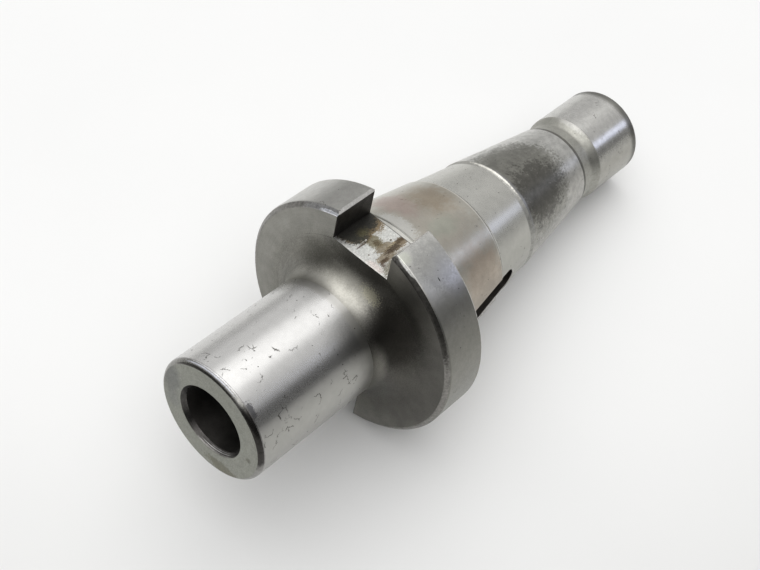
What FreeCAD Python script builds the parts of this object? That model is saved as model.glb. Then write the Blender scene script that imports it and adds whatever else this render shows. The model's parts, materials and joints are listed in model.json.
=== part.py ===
import FreeCAD, Part
import math
import os

# Taper shank tool holder in one piece of hardened steel, sizes in millimetres.
# The holder is turned about the X axis with its nose face at x = 0 and its drawbar
# end at +X, milled, and then laid down the way it comes to rest on a flat surface.

# Nose: the plain cylinder that carries the socket
nose_diameter = 31.75
nose_length = 44.45
nose_edge_length = 1.5
nose_edge_drop = 0.875
nose_fillet_radius = 7.94

# Flange with its two drive slots
flange_diameter = 63.5
flange_thickness = 12.7
flange_front_chamfer = 1.0
flange_rear_chamfer = 0.6
drive_slot_width = 16.38
drive_slot_floor_radius = 22.48
drive_slot_edge_break = 0.45

# Steep taper shank: a cone of 7 in 24 on the diameter, ground on two lands
taper_gauge_diameter = 44.45
taper_per_length = 7.0 / 24.0
gauge_gap = 1.6
gauge_gap_relief = 0.22
gauge_gap_corner = 0.4
front_land_length = 22.8
relief_length = 16.6
relief_depth = 0.35
relief_front_ramp = 0.8
relief_rear_ramp = 1.2
rear_land_length = 28.9

# Neck, where the cone runs on unground, and the pilot at the drawbar end
neck_step = 0.12
neck_length = 4.2
neck_flare_length = 2.8
pilot_diameter = 25.0
pilot_length = 18.25
pilot_edge_length = 1.0
pilot_edge_drop = 0.45

# Number 2 self-holding taper socket and the drift slot that frees the tool
socket_gauge_diameter = 17.78
socket_taper_per_length = 0.04995
socket_depth = 66.7
socket_mouth_diameter = 19.2
socket_mouth_angle = 60.0
drill_point_angle = 118.0
drift_slot_width = 6.76
drift_slot_length = 24.9
drift_slot_overlap = 3.2

# Drawbar hole: bored to the core diameter of its thread
drawbar_core_diameter = 13.5
drawbar_hole_depth = 48.0
drawbar_mouth_diameter = 17.5
drawbar_mouth_angle = 60.0

# Places along the axis and radii that follow from the sizes above
nose_radius = nose_diameter / 2
flange_radius = flange_diameter / 2
pilot_radius = pilot_diameter / 2
gauge_radius = taper_gauge_diameter / 2
flange_front = nose_length
flange_rear = flange_front + flange_thickness
gauge_line = flange_rear + gauge_gap
relief_start = gauge_line + front_land_length
relief_end = relief_start + relief_length
rear_land_end = relief_end + rear_land_length
neck_end = rear_land_end + neck_length
pilot_start = neck_end + neck_flare_length
holder_length = pilot_start + pilot_length
drift_slot_start = socket_depth - drift_slot_overlap
drift_slot_end = drift_slot_start + drift_slot_length
drive_slot_half_width = drive_slot_width / 2

AXIS_START = FreeCAD.Vector(0, 0, 0)
AXIS = FreeCAD.Vector(1, 0, 0)
TILT_AXIS = FreeCAD.Vector(0, 1, 0)


def cone_radius(x):
    """Radius of the ground 7 in 24 cone at a place along the axis."""
    return gauge_radius - (x - gauge_line) * taper_per_length / 2


def at(x, radius):
    """Point of a half section, in the plane through the axis."""
    return FreeCAD.Vector(x, 0, radius)


def line(start, end):
    return Part.LineSegment(start, end).toShape()


def arc_about(centre, radius, first_angle, last_angle):
    """Arc in the section plane; angles in degrees from +X towards the outside."""
    points = []
    for angle in (first_angle, (first_angle + last_angle) / 2, last_angle):
        turn = math.radians(angle)
        points.append(centre + at(radius * math.cos(turn), radius * math.sin(turn)))
    return Part.Arc(*points).toShape()


def edge_round_radius(length, drop):
    """Radius of a worn corner that is tangent to the cylinder and cuts its end face."""
    return (length ** 2 + drop ** 2) / (2 * drop)


def nose_edges():
    """Section of the nose, from its end face to the flange's front face."""
    radius = edge_round_radius(nose_edge_length, nose_edge_drop)
    sweep = math.degrees(math.asin(nose_edge_length / radius))
    corner_centre = at(nose_edge_length, nose_radius - radius)
    fillet_start = flange_front - nose_fillet_radius
    fillet_centre = at(fillet_start, nose_radius + nose_fillet_radius)
    face_end = at(flange_front, flange_radius - flange_front_chamfer)
    return [
        line(at(0, 0), at(0, nose_radius - nose_edge_drop)),
        arc_about(corner_centre, radius, 90 + sweep, 90),
        line(at(nose_edge_length, nose_radius), at(fillet_start, nose_radius)),
        arc_about(fillet_centre, nose_fillet_radius, -90, 0),
        line(at(flange_front, nose_radius + nose_fillet_radius), face_end),
    ]


def shank_points():
    """Corners of the flange rim, the two lands, the relief between them and the neck."""
    relief_floor_start = relief_start + relief_front_ramp
    relief_floor_end = relief_end - relief_rear_ramp
    gap_radius = gauge_radius - gauge_gap_relief
    return [
        at(flange_front, flange_radius - flange_front_chamfer),
        at(flange_front + flange_front_chamfer, flange_radius),
        at(flange_rear - flange_rear_chamfer, flange_radius),
        at(flange_rear, flange_radius - flange_rear_chamfer),
        at(flange_rear, gap_radius + gauge_gap_corner),
        at(flange_rear + gauge_gap_corner, gap_radius),
        at(gauge_line - gauge_gap_relief, gap_radius),
        at(gauge_line, gauge_radius),
        at(relief_start, cone_radius(relief_start)),
        at(relief_floor_start, cone_radius(relief_floor_start) - relief_depth),
        at(relief_floor_end, cone_radius(relief_floor_end) - relief_depth),
        at(relief_end, cone_radius(relief_end)),
        at(rear_land_end, cone_radius(rear_land_end)),
        at(rear_land_end + neck_step, cone_radius(rear_land_end) - neck_step),
        at(neck_end, cone_radius(neck_end) - neck_step),
        at(pilot_start, pilot_radius),
        at(holder_length - pilot_edge_length, pilot_radius),
    ]


def pilot_edges():
    """Section of the pilot's rounded end and the way back to the axis."""
    radius = edge_round_radius(pilot_edge_length, pilot_edge_drop)
    sweep = math.degrees(math.asin(pilot_edge_length / radius))
    corner_centre = at(holder_length - pilot_edge_length, pilot_radius - radius)
    return [
        arc_about(corner_centre, radius, 90, 90 - sweep),
        line(at(holder_length, pilot_radius - pilot_edge_drop), at(holder_length, 0)),
        line(at(holder_length, 0), at(0, 0)),
    ]


def turned_blank():
    """The holder as it leaves the lathe and the grinder, without any hole or slot."""
    corners = shank_points()
    edges = nose_edges()
    for start, end in zip(corners, corners[1:]):
        edges.append(line(start, end))
    edges += pilot_edges()
    section = Part.Face(Part.Wire(edges))
    return section.revolve(AXIS_START, AXIS, 360)


def round_cutter(corners):
    """Cutter turned about the holder's axis from the corners of its half section."""
    outline = Part.makePolygon(corners + [corners[0]])
    return Part.Face(outline).revolve(AXIS_START, AXIS, 360)


def socket_cutter():
    """Tapered socket, countersunk at its mouth and drilled to a point at its root."""
    mouth_radius = socket_mouth_diameter / 2
    gauge = socket_gauge_diameter / 2
    mouth_slope = math.tan(math.radians(socket_mouth_angle / 2))
    socket_slope = socket_taper_per_length / 2
    mouth_depth = (mouth_radius - gauge) / (mouth_slope - socket_slope)
    root_radius = gauge - socket_depth * socket_slope
    point_length = root_radius / math.tan(math.radians(drill_point_angle / 2))
    return round_cutter([
        at(0, 0),
        at(0, mouth_radius),
        at(mouth_depth, gauge - mouth_depth * socket_slope),
        at(socket_depth, root_radius),
        at(socket_depth + point_length, 0),
    ])


def drawbar_cutter():
    """Hole for the drawbar's thread, countersunk at the pilot's end face."""
    core_radius = drawbar_core_diameter / 2
    mouth_radius = drawbar_mouth_diameter / 2
    mouth_depth = (mouth_radius - core_radius) / math.tan(math.radians(drawbar_mouth_angle / 2))
    point_length = core_radius / math.tan(math.radians(drill_point_angle / 2))
    hole_bottom = holder_length - drawbar_hole_depth
    return round_cutter([
        at(holder_length, 0),
        at(holder_length, mouth_radius),
        at(holder_length - mouth_depth, core_radius),
        at(hole_bottom, core_radius),
        at(hole_bottom - point_length, 0),
    ])


def prism(corners, length, direction):
    """Solid swept from the outline through the corners, square to its plane."""
    outline = Part.makePolygon(corners + [corners[0]])
    return Part.Face(outline).extrude(direction * length)


def drive_slot_plan():
    """Slot seen from above, splayed where its walls meet the flange's two faces."""
    half = drive_slot_half_width
    splay = drive_slot_edge_break
    overrun = nose_fillet_radius
    floor = drive_slot_floor_radius
    side = [
        FreeCAD.Vector(flange_front - overrun, half + splay + overrun, floor),
        FreeCAD.Vector(flange_front + splay, half, floor),
        FreeCAD.Vector(flange_rear - splay, half, floor),
        FreeCAD.Vector(flange_rear, half + splay, floor),
    ]
    return side + [FreeCAD.Vector(p.x, -p.y, p.z) for p in reversed(side)]


def drive_slot_end_view():
    """Slot seen along the axis, splayed where its walls meet the flange's rim."""
    half = drive_slot_half_width
    splay = drive_slot_edge_break
    corner_offset = half + splay
    corner_height = math.sqrt(flange_radius ** 2 - corner_offset ** 2)
    overrun = flange_radius - corner_height + splay
    side = [
        FreeCAD.Vector(flange_front, half, drive_slot_floor_radius),
        FreeCAD.Vector(flange_front, half, corner_height - splay),
        FreeCAD.Vector(flange_front, corner_offset + overrun, corner_height + overrun),
    ]
    return side + [FreeCAD.Vector(p.x, -p.y, p.z) for p in reversed(side)]


def drive_slot_cutter(turn):
    """Square-bottomed slot through the flange, turned about the axis by an angle."""
    height = flange_radius - drive_slot_floor_radius + drive_slot_edge_break
    cutter = prism(drive_slot_plan(), height, FreeCAD.Vector(0, 0, 1))
    cutter = cutter.fuse(prism(drive_slot_end_view(), flange_thickness, AXIS))
    cutter.rotate(AXIS_START, AXIS, turn)
    return cutter


def drift_slot_cutter():
    """Round-ended slot that crosses the shank square to the drive slots."""
    radius = drift_slot_width / 2
    first = drift_slot_start + radius
    last = drift_slot_end - radius
    edges = [
        line(at(first, radius), at(last, radius)),
        arc_about(at(last, 0), radius, 90, -90),
        line(at(last, -radius), at(first, -radius)),
        arc_about(at(first, 0), radius, -90, -270),
    ]
    reach = flange_radius
    face = Part.Face(Part.Wire(edges))
    face.translate(FreeCAD.Vector(0, -reach, 0))
    return face.extrude(FreeCAD.Vector(0, 2 * reach, 0))


def milled_holder():
    """The finished holder, along the X axis."""
    holder = turned_blank()
    for turn in (0, 180):
        holder = holder.cut(drive_slot_cutter(turn))
    holder = holder.cut(drift_slot_cutter())
    holder = holder.cut(socket_cutter())
    return holder.cut(drawbar_cutter())


def resting_tilt():
    """Angle by which the axis drops towards the pilot once the holder lies down.

    The lower drive slot straddles the lowest line, so the flange stands on the two
    corners of that slot and can't roll, and the pilot's rounded end touches below.
    """
    corner_offset = drive_slot_half_width + drive_slot_edge_break
    flange_drop = math.sqrt(flange_radius ** 2 - corner_offset ** 2)
    flange_place = flange_rear - flange_rear_chamfer
    round_radius = edge_round_radius(pilot_edge_length, pilot_edge_drop)
    round_drop = pilot_radius - round_radius
    round_place = holder_length - pilot_edge_length
    run = round_place - flange_place
    fall = flange_drop - round_drop
    touch_angle = math.asin(round_radius / math.hypot(run, fall))
    return math.degrees(math.atan2(fall, run) - touch_angle)


def laid_down(shape):
    """Shape at rest on z = 0, with the middle of its box above the origin."""
    shape.rotate(AXIS_START, TILT_AXIS, resting_tilt())
    box = shape.optimalBoundingBox(False, False)
    shape.translate(FreeCAD.Vector(-box.Center.x, -box.Center.y, -box.ZMin))
    return shape


def main():
    os.makedirs("parts", exist_ok=True)
    holder = laid_down(milled_holder())
    holder.exportStep(os.path.join("parts", "holder_body.step"))
    box = holder.optimalBoundingBox(False, False)
    print("tilt", resting_tilt(), "volume", holder.Volume, "valid", holder.isValid())
    print("box", box.XMin, box.YMin, box.ZMin, box.XMax, box.YMax, box.ZMax)


main()
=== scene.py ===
"""Steel holder with a steep taper shank, a slotted flange and a nose for tapered tools.

The holder is turned, milled and ground from one bar, so it is one piece here too. Its
mesh is made in the holder's own axes, in millimetres: x runs along its axis from the nose
face to the drawbar end, z points at the upper drive slot and y to the left of that slot as
seen from the nose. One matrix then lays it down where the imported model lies.
"""

import json
import logging
import math
from collections.abc import Callable
from dataclasses import dataclass
from enum import IntEnum
from functools import partial
from typing import ClassVar, TypeAlias

import bpy
import numpy as np
from mathutils import Matrix, Vector


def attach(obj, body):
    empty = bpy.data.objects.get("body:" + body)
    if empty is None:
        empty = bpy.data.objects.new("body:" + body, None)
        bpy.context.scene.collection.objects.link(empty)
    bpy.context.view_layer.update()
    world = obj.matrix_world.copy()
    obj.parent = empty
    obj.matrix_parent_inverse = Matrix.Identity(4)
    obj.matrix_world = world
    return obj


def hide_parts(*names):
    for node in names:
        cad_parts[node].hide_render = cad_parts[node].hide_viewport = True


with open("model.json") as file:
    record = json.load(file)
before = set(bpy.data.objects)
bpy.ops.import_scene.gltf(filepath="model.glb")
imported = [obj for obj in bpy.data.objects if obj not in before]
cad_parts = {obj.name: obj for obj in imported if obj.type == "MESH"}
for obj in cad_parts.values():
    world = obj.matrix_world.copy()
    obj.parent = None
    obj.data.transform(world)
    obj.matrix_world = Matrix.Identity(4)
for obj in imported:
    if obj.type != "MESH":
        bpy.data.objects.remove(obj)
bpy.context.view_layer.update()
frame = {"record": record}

LOG = logging.getLogger("holder")
# One millimetre in metres.
MM = 0.001
# Points round each turned ring.
COLUMNS = 192
# Reach in millimetres of a stain or band along an axis that it has no end on.
AROUND = 1e4
# Size of the steel's finest specks, coarser than real grit so that the render shows them.
SPECK_MM = 0.35

# Output of a node, to be linked to an input.
Output: TypeAlias = bpy.types.NodeSocket
# Values along x, y and z.
Triple: TypeAlias = tuple[float, float, float]


def unit(vectors: np.ndarray) -> np.ndarray:
    """Vectors brought to length 1 along the last axis of an array."""
    return vectors / np.linalg.norm(vectors, axis=-1, keepdims=True)


class Zone(IntEnum):
    """Surfaces that one tool or one wear left, each with a finish of its own."""

    SOCKET = 0
    COUNTERSINK = 1
    NOSE_FACE = 2
    NOSE_EDGE = 3
    NOSE = 4
    FILLET = 5
    FLANGE_FACE = 6
    RIM_BREAK = 7
    RIM = 8
    FLANGE_REAR = 9
    FRONT_LAND = 10
    RELIEF = 11
    REAR_RAMP = 12
    REAR_LAND = 13
    NECK = 14
    PILOT = 15
    PILOT_EDGE = 16
    END_FACE = 17
    THREAD = 18
    SLOT_FLOOR = 19
    SLOT_WALL = 20
    SLOT_BREAK = 21
    DRIFT_WALL = 22
    KNOCK = 23


# Section


@dataclass(frozen=True)
class Corner:
    """One corner of the turned section.

    Attributes:
        x: Place along the axis.
        r: Distance from the axis.
        rounding: Radius that the corner is rounded to.
        zone: Zone of the straight run that follows.
        bend: Zone of the rounding, or None for the zone of the run that follows.
        steps: Segments in the rounding.
        row: Longest segment of the run that follows, or 0 for a single one.
    """

    x: float
    r: float
    rounding: float
    zone: Zone
    bend: Zone | None = None
    steps: int = 4
    row: float = 0.0


@dataclass
class Section:
    """Half section of a turned body.

    Attributes:
        points: Points, each as its place along the axis and its distance from it.
        normals: Outward normal at each point.
        zones: Zone of the segment from each point to the next.
    """

    points: np.ndarray
    normals: np.ndarray
    zones: np.ndarray

    @classmethod
    def from_corners(cls, corners: list[Corner]) -> "Section":
        """Rounds each corner between two runs.

        Args:
            corners: Corners in order, the solid on the right of the way along them.

        Returns:
            The section, whose first and last points lie on the axis.
        """
        points, normals, zones = [], [], []

        def put(point: np.ndarray, normal: np.ndarray, zone: Zone) -> None:
            """Adds a point.

            Args:
                point: The point.
                normal: Outward normal there.
                zone: Zone of the segment that ends there.
            """
            if points:
                zones.append(int(zone))
            points.append(point)
            normals.append(normal)

        spots = [np.array([corner.x, corner.r]) for corner in corners]
        start = spots[0]
        for i in range(1, len(corners)):
            before, corner, here = corners[i - 1], corners[i], spots[i]
            way_in = unit(here - spots[i - 1])
            normal_in = np.array([-way_in[1], way_in[0]])
            if i == len(corners) - 1:
                cls._run(put, start, here, normal_in, before)
                break
            way_out = unit(spots[i + 1] - here)
            normal_out = np.array([-way_out[1], way_out[0]])
            cross = way_in[0] * way_out[1] - way_in[1] * way_out[0]
            turn = math.atan2(cross, float(way_in @ way_out))
            tangent = corner.rounding * math.tan(abs(turn) / 2)
            side = -1.0 if turn < 0 else 1.0
            first = here - way_in * tangent
            centre = first + normal_in * corner.rounding * side
            cls._run(put, start, first, normal_in, before)
            zone = corner.zone if corner.bend is None else corner.bend
            for k in range(1, corner.steps + 1):
                normal = cls._turned(normal_in, turn * k / corner.steps)
                put(centre - normal * corner.rounding * side, normal, zone)
            start = here + way_out * tangent
            points[-1], normals[-1] = start, normal_out
        return cls(np.array(points), np.array(normals), np.array(zones))

    @staticmethod
    def _turned(vector: np.ndarray, angle: float) -> np.ndarray:
        """A plane vector turned by an angle in radians."""
        c, s = math.cos(angle), math.sin(angle)
        return np.array([c * vector[0] - s * vector[1], s * vector[0] + c * vector[1]])

    @staticmethod
    def _run(
        put: Callable[[np.ndarray, np.ndarray, Zone], None],
        start: np.ndarray,
        end: np.ndarray,
        normal: np.ndarray,
        corner: Corner,
    ) -> None:
        """Adds a straight run, in rows where its corner asks for them.

        Args:
            put: Adds a point with its normal and zone.
            start: First point of the run.
            end: Its last point.
            normal: Its outward normal.
            corner: Corner that it starts from.
        """
        length = float(np.linalg.norm(end - start))
        rows = max(1, math.ceil(length / corner.row)) if corner.row else 1
        for k in range(rows + 1):
            put(start + (end - start) * k / rows, normal, corner.zone)


# The holder's parts


@dataclass
class Nose:
    """Plain cylinder at the front, with its worn front edge and the fillet behind it.

    Attributes:
        radius: Radius of the cylinder.
        length: Place of the flange's front face, where the cylinder would end.
        face_radius: Radius at which the worn edge starts on the end face.
        edge_place: Place along the axis where it would meet the cylinder.
        edge_radius: Rounding of that edge.
        face_rounding: Rounding between the end face and that edge.
        fillet_radius: Rounding between the cylinder and the flange.
        row: Longest mesh row on the cylinder.
    """

    radius: float = 15.875
    length: float = 44.45
    face_radius: float = 15.0
    edge_place: float = 0.495
    edge_radius: float = 1.6
    face_rounding: float = 0.16
    fillet_radius: float = 7.94
    row: float = 2.5

    def corners(self) -> list[Corner]:
        """Corners from the end face to the flange.

        Returns:
            The corners in order along the axis.
        """
        return [
            Corner(0, self.face_radius, self.face_rounding, Zone.NOSE_EDGE),
            Corner(self.edge_place, self.radius, self.edge_radius, Zone.NOSE,
                   bend=Zone.NOSE_EDGE, steps=12, row=self.row),
            Corner(self.length, self.radius, self.fillet_radius, Zone.FLANGE_FACE,
                   bend=Zone.FILLET, steps=28),
        ]


@dataclass
class TaperSocket:
    """Self-holding taper socket, countersunk at its mouth and drilled to a point.

    Attributes:
        gauge_radius: Radius of the taper at the nose face.
        slope: Loss of radius per millimetre of depth.
        depth: Depth at which the taper ends.
        mouth_radius: Radius of the countersink at the nose face.
        mouth_angle: Half angle of the countersink, in degrees.
        point_angle: Half angle of the drilled point, in degrees.
        root_rounding: Rounding between the drilled point and the taper.
        taper_rounding: Rounding between the taper and the countersink.
        mouth_rounding: Rounding between the countersink and the nose face.
    """

    gauge_radius: float = 8.89
    slope: float = 0.024975
    depth: float = 66.7
    mouth_radius: float = 9.6
    mouth_angle: float = 30.0
    point_angle: float = 59.0
    root_rounding: float = 0.4
    taper_rounding: float = 0.12
    mouth_rounding: float = 0.14

    def corners(self) -> list[Corner]:
        """Corners from the drilled point to the nose face.

        Returns:
            The corners in order, towards the nose face.
        """
        root = self.gauge_radius - self.depth * self.slope
        tip = self.depth + root / math.tan(math.radians(self.point_angle))
        flare = math.tan(math.radians(self.mouth_angle)) - self.slope
        mouth = (self.mouth_radius - self.gauge_radius) / flare
        throat = self.gauge_radius - mouth * self.slope
        return [
            Corner(tip, 0, 0, Zone.SOCKET),
            Corner(self.depth, root, self.root_rounding, Zone.SOCKET),
            Corner(mouth, throat, self.taper_rounding, Zone.COUNTERSINK),
            Corner(0, self.mouth_radius, self.mouth_rounding, Zone.NOSE_FACE),
        ]


@dataclass
class Flange:
    """Flange rim with the broken edges at its two faces.

    Attributes:
        front: Place of the front face.
        rear: Place of the rear face.
        radius: Radius of the rim.
        front_break: Width of the front broken edge.
        rear_break: Width of the rear one.
        front_roundings: Roundings of the front break at the face and at the rim.
        rear_roundings: Roundings of the rear break at the rim and at the face.
    """

    front: float = 44.45
    rear: float = 57.15
    radius: float = 31.75
    front_break: float = 1.0
    rear_break: float = 0.6
    front_roundings: tuple[float, float] = (0.7, 0.5)
    rear_roundings: tuple[float, float] = (0.25, 0.2)

    def corners(self) -> list[Corner]:
        """Corners from the front face to the rear face.

        Returns:
            The corners in order along the axis.
        """
        front, rear, rim = self.front, self.rear, self.radius
        return [
            Corner(front, rim - self.front_break, self.front_roundings[0], Zone.RIM_BREAK),
            Corner(front + self.front_break, rim, self.front_roundings[1], Zone.RIM),
            Corner(rear - self.rear_break, rim, self.rear_roundings[0], Zone.RIM_BREAK),
            Corner(rear, rim - self.rear_break, self.rear_roundings[1], Zone.FLANGE_REAR),
        ]


@dataclass
class Shank:
    """Steep taper of 7 in 24, ground on two lands with a relief turned between them.

    Attributes:
        gauge_line: Place where the taper starts.
        gauge_radius: Radius of the taper there.
        half_slope: Loss of radius per millimetre along the axis.
        gap_depth: Depth of the groove between the flange and the taper.
        gap_corner: Chamfer between that groove and the flange.
        relief_start: Place where the relief starts.
        relief_end: Place where it ends.
        relief_depth: Depth of the relief under the cone.
        front_ramp: Length of the slope down into it.
        rear_ramp: Length of the slope out of it.
        rear_land_end: Place where the rear land ends.
        neck_step: Step down from that land to the neck.
        neck_end: Place where the neck turns out to the pilot.
        gap_rounding: Rounding in the groove behind the flange.
        gauge_rounding: Rounding where the groove rises to the taper.
        land_rounding: Rounding at the ends of the ground lands.
        ramp_rounding: Rounding at the relief's floor.
        step_rounding: Rounding at the step down to the neck.
        neck_rounding: Rounding where the neck turns out.
        row: Longest mesh row on the lands and in the relief.
    """

    gauge_line: float = 58.75
    gauge_radius: float = 22.225
    half_slope: float = 7.0 / 48.0
    gap_depth: float = 0.22
    gap_corner: float = 0.4
    relief_start: float = 81.55
    relief_end: float = 98.15
    relief_depth: float = 0.35
    front_ramp: float = 0.8
    rear_ramp: float = 1.2
    rear_land_end: float = 127.05
    neck_step: float = 0.12
    neck_end: float = 131.25
    gap_rounding: float = 0.08
    gauge_rounding: float = 0.05
    land_rounding: float = 0.12
    ramp_rounding: float = 0.8
    step_rounding: float = 0.04
    neck_rounding: float = 2.2
    row: float = 3.0

    def cone(self, x: float) -> float:
        """Radius of the ground cone at a place along the axis."""
        return self.gauge_radius - (x - self.gauge_line) * self.half_slope

    def surface(self, x: float) -> float:
        """Radius of the shank on its two lands and in the relief.

        Args:
            x: Place along the axis.

        Returns:
            The radius there.
        """
        floor_start = self.relief_start + self.front_ramp
        floor_end = self.relief_end - self.rear_ramp
        places = [self.relief_start, floor_start, floor_end, self.relief_end]
        depth = np.interp(x, places, [0, self.relief_depth, self.relief_depth, 0])
        return self.cone(x) - float(depth)

    def corners(self, flange_rear: float) -> list[Corner]:
        """Corners from the flange's rear face to the end of the neck.

        Args:
            flange_rear: Place of the flange's rear face.

        Returns:
            The corners in order along the axis.
        """
        gap = self.gauge_radius - self.gap_depth
        front, rear = self.relief_start, self.relief_end
        front_floor, rear_floor = front + self.front_ramp, rear - self.rear_ramp
        land_end, neck_end, step = self.rear_land_end, self.neck_end, self.neck_step
        dip, land, ramp = self.gap_rounding, self.land_rounding, self.ramp_rounding
        return [
            Corner(flange_rear, gap + self.gap_corner, dip, Zone.FLANGE_REAR),
            Corner(flange_rear + self.gap_corner, gap, dip, Zone.FRONT_LAND),
            Corner(self.gauge_line - self.gap_depth, gap, self.gauge_rounding, Zone.FRONT_LAND),
            Corner(self.gauge_line, self.gauge_radius, land, Zone.FRONT_LAND, row=self.row),
            Corner(front, self.cone(front), land, Zone.RELIEF),
            Corner(front_floor, self.surface(front_floor), ramp, Zone.RELIEF, row=self.row),
            Corner(rear_floor, self.surface(rear_floor), ramp, Zone.REAR_RAMP),
            Corner(rear, self.cone(rear), land, Zone.REAR_LAND, row=self.row),
            Corner(land_end, self.cone(land_end), self.step_rounding, Zone.NECK),
            Corner(land_end + step, self.cone(land_end) - step, self.step_rounding, Zone.NECK),
            Corner(neck_end, self.cone(neck_end) - step, self.neck_rounding, Zone.NECK, steps=8),
        ]


@dataclass
class Pilot:
    """Parallel end of the shank, with the drawbar's threaded hole in it.

    Attributes:
        start: Place where the neck has flared out to the pilot.
        end: Place of the end face.
        radius: Radius of the pilot.
        edge_place: Place where its rounded end would start.
        face_radius: Radius of the end face.
        edge_radius: Rounding of the end.
        mouth_radius: Radius of the hole's countersink at the end face.
        core_radius: Radius of the hole inside the thread's ridges.
        mouth_angle: Half angle of the countersink, in degrees.
        hole_depth: Depth of the hole to the start of its drilled point.
        point_angle: Half angle of that point, in degrees.
        thread_pitch: Distance from ridge to ridge: 11 threads to 25.4 mm.
        thread_length: Length of the thread.
        thread_depth: Depth of its groove.
        thread_row: Longest mesh row in it.
        groove_share: Share of the pitch that the groove takes at its mouth.
        flank_share: Share of the pitch that its two flanks take.
        run_in_turns: Turns over which the groove deepens at its inner end.
        run_out: Length over which it fades at the countersink.
        flare_rounding: Rounding between the neck and the pilot.
        face_rounding: Rounding at the two rims of the end face.
        core_rounding: Rounding between the countersink and the thread.
        bottom_rounding: Rounding between the hole and its drilled point.
        row: Longest mesh row on the pilot.
    """

    start: float = 134.05
    end: float = 152.3
    radius: float = 12.5
    edge_place: float = 151.901
    face_radius: float = 12.05
    edge_radius: float = 1.25
    mouth_radius: float = 8.75
    core_radius: float = 6.75
    mouth_angle: float = 30.0
    hole_depth: float = 48.0
    point_angle: float = 59.0
    thread_pitch: float = 25.4 / 11.0
    thread_length: float = 36.0
    thread_depth: float = 1.15
    thread_row: float = 0.22
    groove_share: float = 0.86
    flank_share: float = 0.66
    run_in_turns: float = 1.5
    run_out: float = 0.5
    flare_rounding: float = 1.2
    face_rounding: float = 0.12
    core_rounding: float = 0.05
    bottom_rounding: float = 0.3
    row: float = 3.0

    def mouth(self) -> float:
        """Place along the axis where the countersink ends in the hole."""
        flare = math.tan(math.radians(self.mouth_angle))
        return self.end - (self.mouth_radius - self.core_radius) / flare

    def corners(self) -> list[Corner]:
        """Corners from the end of the neck to the drilled point of the hole.

        Returns:
            The corners in order, round the end and into the hole.
        """
        mouth = self.mouth()
        bottom = self.end - self.hole_depth
        tip = bottom - self.core_radius / math.tan(math.radians(self.point_angle))
        # The thread ends at a corner a hair inside the core, which keeps its rows apart
        # from the plain hole behind it.
        plain = self.core_radius - 1e-4
        return [
            Corner(self.start, self.radius, self.flare_rounding, Zone.PILOT,
                   bend=Zone.NECK, steps=6, row=self.row),
            Corner(self.edge_place, self.radius, self.edge_radius, Zone.PILOT_EDGE, steps=10),
            Corner(self.end, self.face_radius, self.face_rounding, Zone.END_FACE),
            Corner(self.end, self.mouth_radius, self.face_rounding, Zone.END_FACE),
            Corner(mouth, self.core_radius, self.core_rounding, Zone.THREAD, row=self.thread_row),
            Corner(mouth - self.thread_length, plain, 0, Zone.SOCKET, steps=1),
            Corner(bottom, self.core_radius, self.bottom_rounding, Zone.SOCKET),
            Corner(tip, 0, 0, Zone.SOCKET),
        ]

    def thread(self, x: np.ndarray, turn: np.ndarray) -> np.ndarray:
        """Depth of the thread's groove.

        Args:
            x: Places along the axis.
            turn: Angles about the axis, in radians.

        Returns:
            How far each point lies outside the core bore.
        """
        mouth = self.mouth()
        phase = (x / self.thread_pitch + turn / (2 * math.pi)) % 1.0
        ridge = np.abs(phase - 0.5) * 2.0
        groove = np.clip((self.groove_share - ridge) / self.flank_share, 0.0, 1.0)
        run_in = self.run_in_turns * self.thread_pitch
        inner = np.clip((x - (mouth - self.thread_length)) / run_in, 0.0, 1.0)
        outer = np.clip((mouth - x) / self.run_out, 0.0, 1.0)
        return self.thread_depth * groove * inner * outer


@dataclass
class Loops:
    """Closed solid between rings of equal point counts, used as a cutter.

    Attributes:
        rings: Rings of points, from one end of the solid to the other.
        walls: Zone left by the wall between each ring and the next.
        first_cap: Zone left by the face inside the first ring.
        last_cap: Zone left by the face inside the last one.
    """

    rings: list[list[Triple]]
    walls: list[Zone]
    first_cap: Zone
    last_cap: Zone

    def mesh(self, name: str) -> bpy.types.Mesh:
        """Mesh of the solid in millimetres, its faces pointing outwards.

        Args:
            name: Name of the mesh.

        Returns:
            The mesh, with the zones as its material indices.
        """
        count = len(self.rings[0])
        points = [point for ring in self.rings for point in ring]
        faces, zones = [list(range(count))[::-1]], [self.first_cap]
        for k, zone in enumerate(self.walls):
            low, high = k * count, (k + 1) * count
            for i in range(count):
                j = (i + 1) % count
                faces.append([low + i, low + j, high + j, high + i])
                zones.append(zone)
        last = (len(self.rings) - 1) * count
        faces.append(list(range(last, last + count)))
        zones.append(self.last_cap)
        mesh = bpy.data.meshes.new(name)
        mesh.from_pydata(points, [], faces)
        if self._inside(mesh) < 0:
            mesh.flip_normals()
        mesh.polygons.foreach_set("material_index", [int(zone) for zone in zones])
        return mesh

    @staticmethod
    def _inside(mesh: bpy.types.Mesh) -> float:
        """Three times the volume inside a mesh, below 0 where its faces point inwards."""
        return sum(face.center.dot(face.normal) * face.area for face in mesh.polygons)


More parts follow.
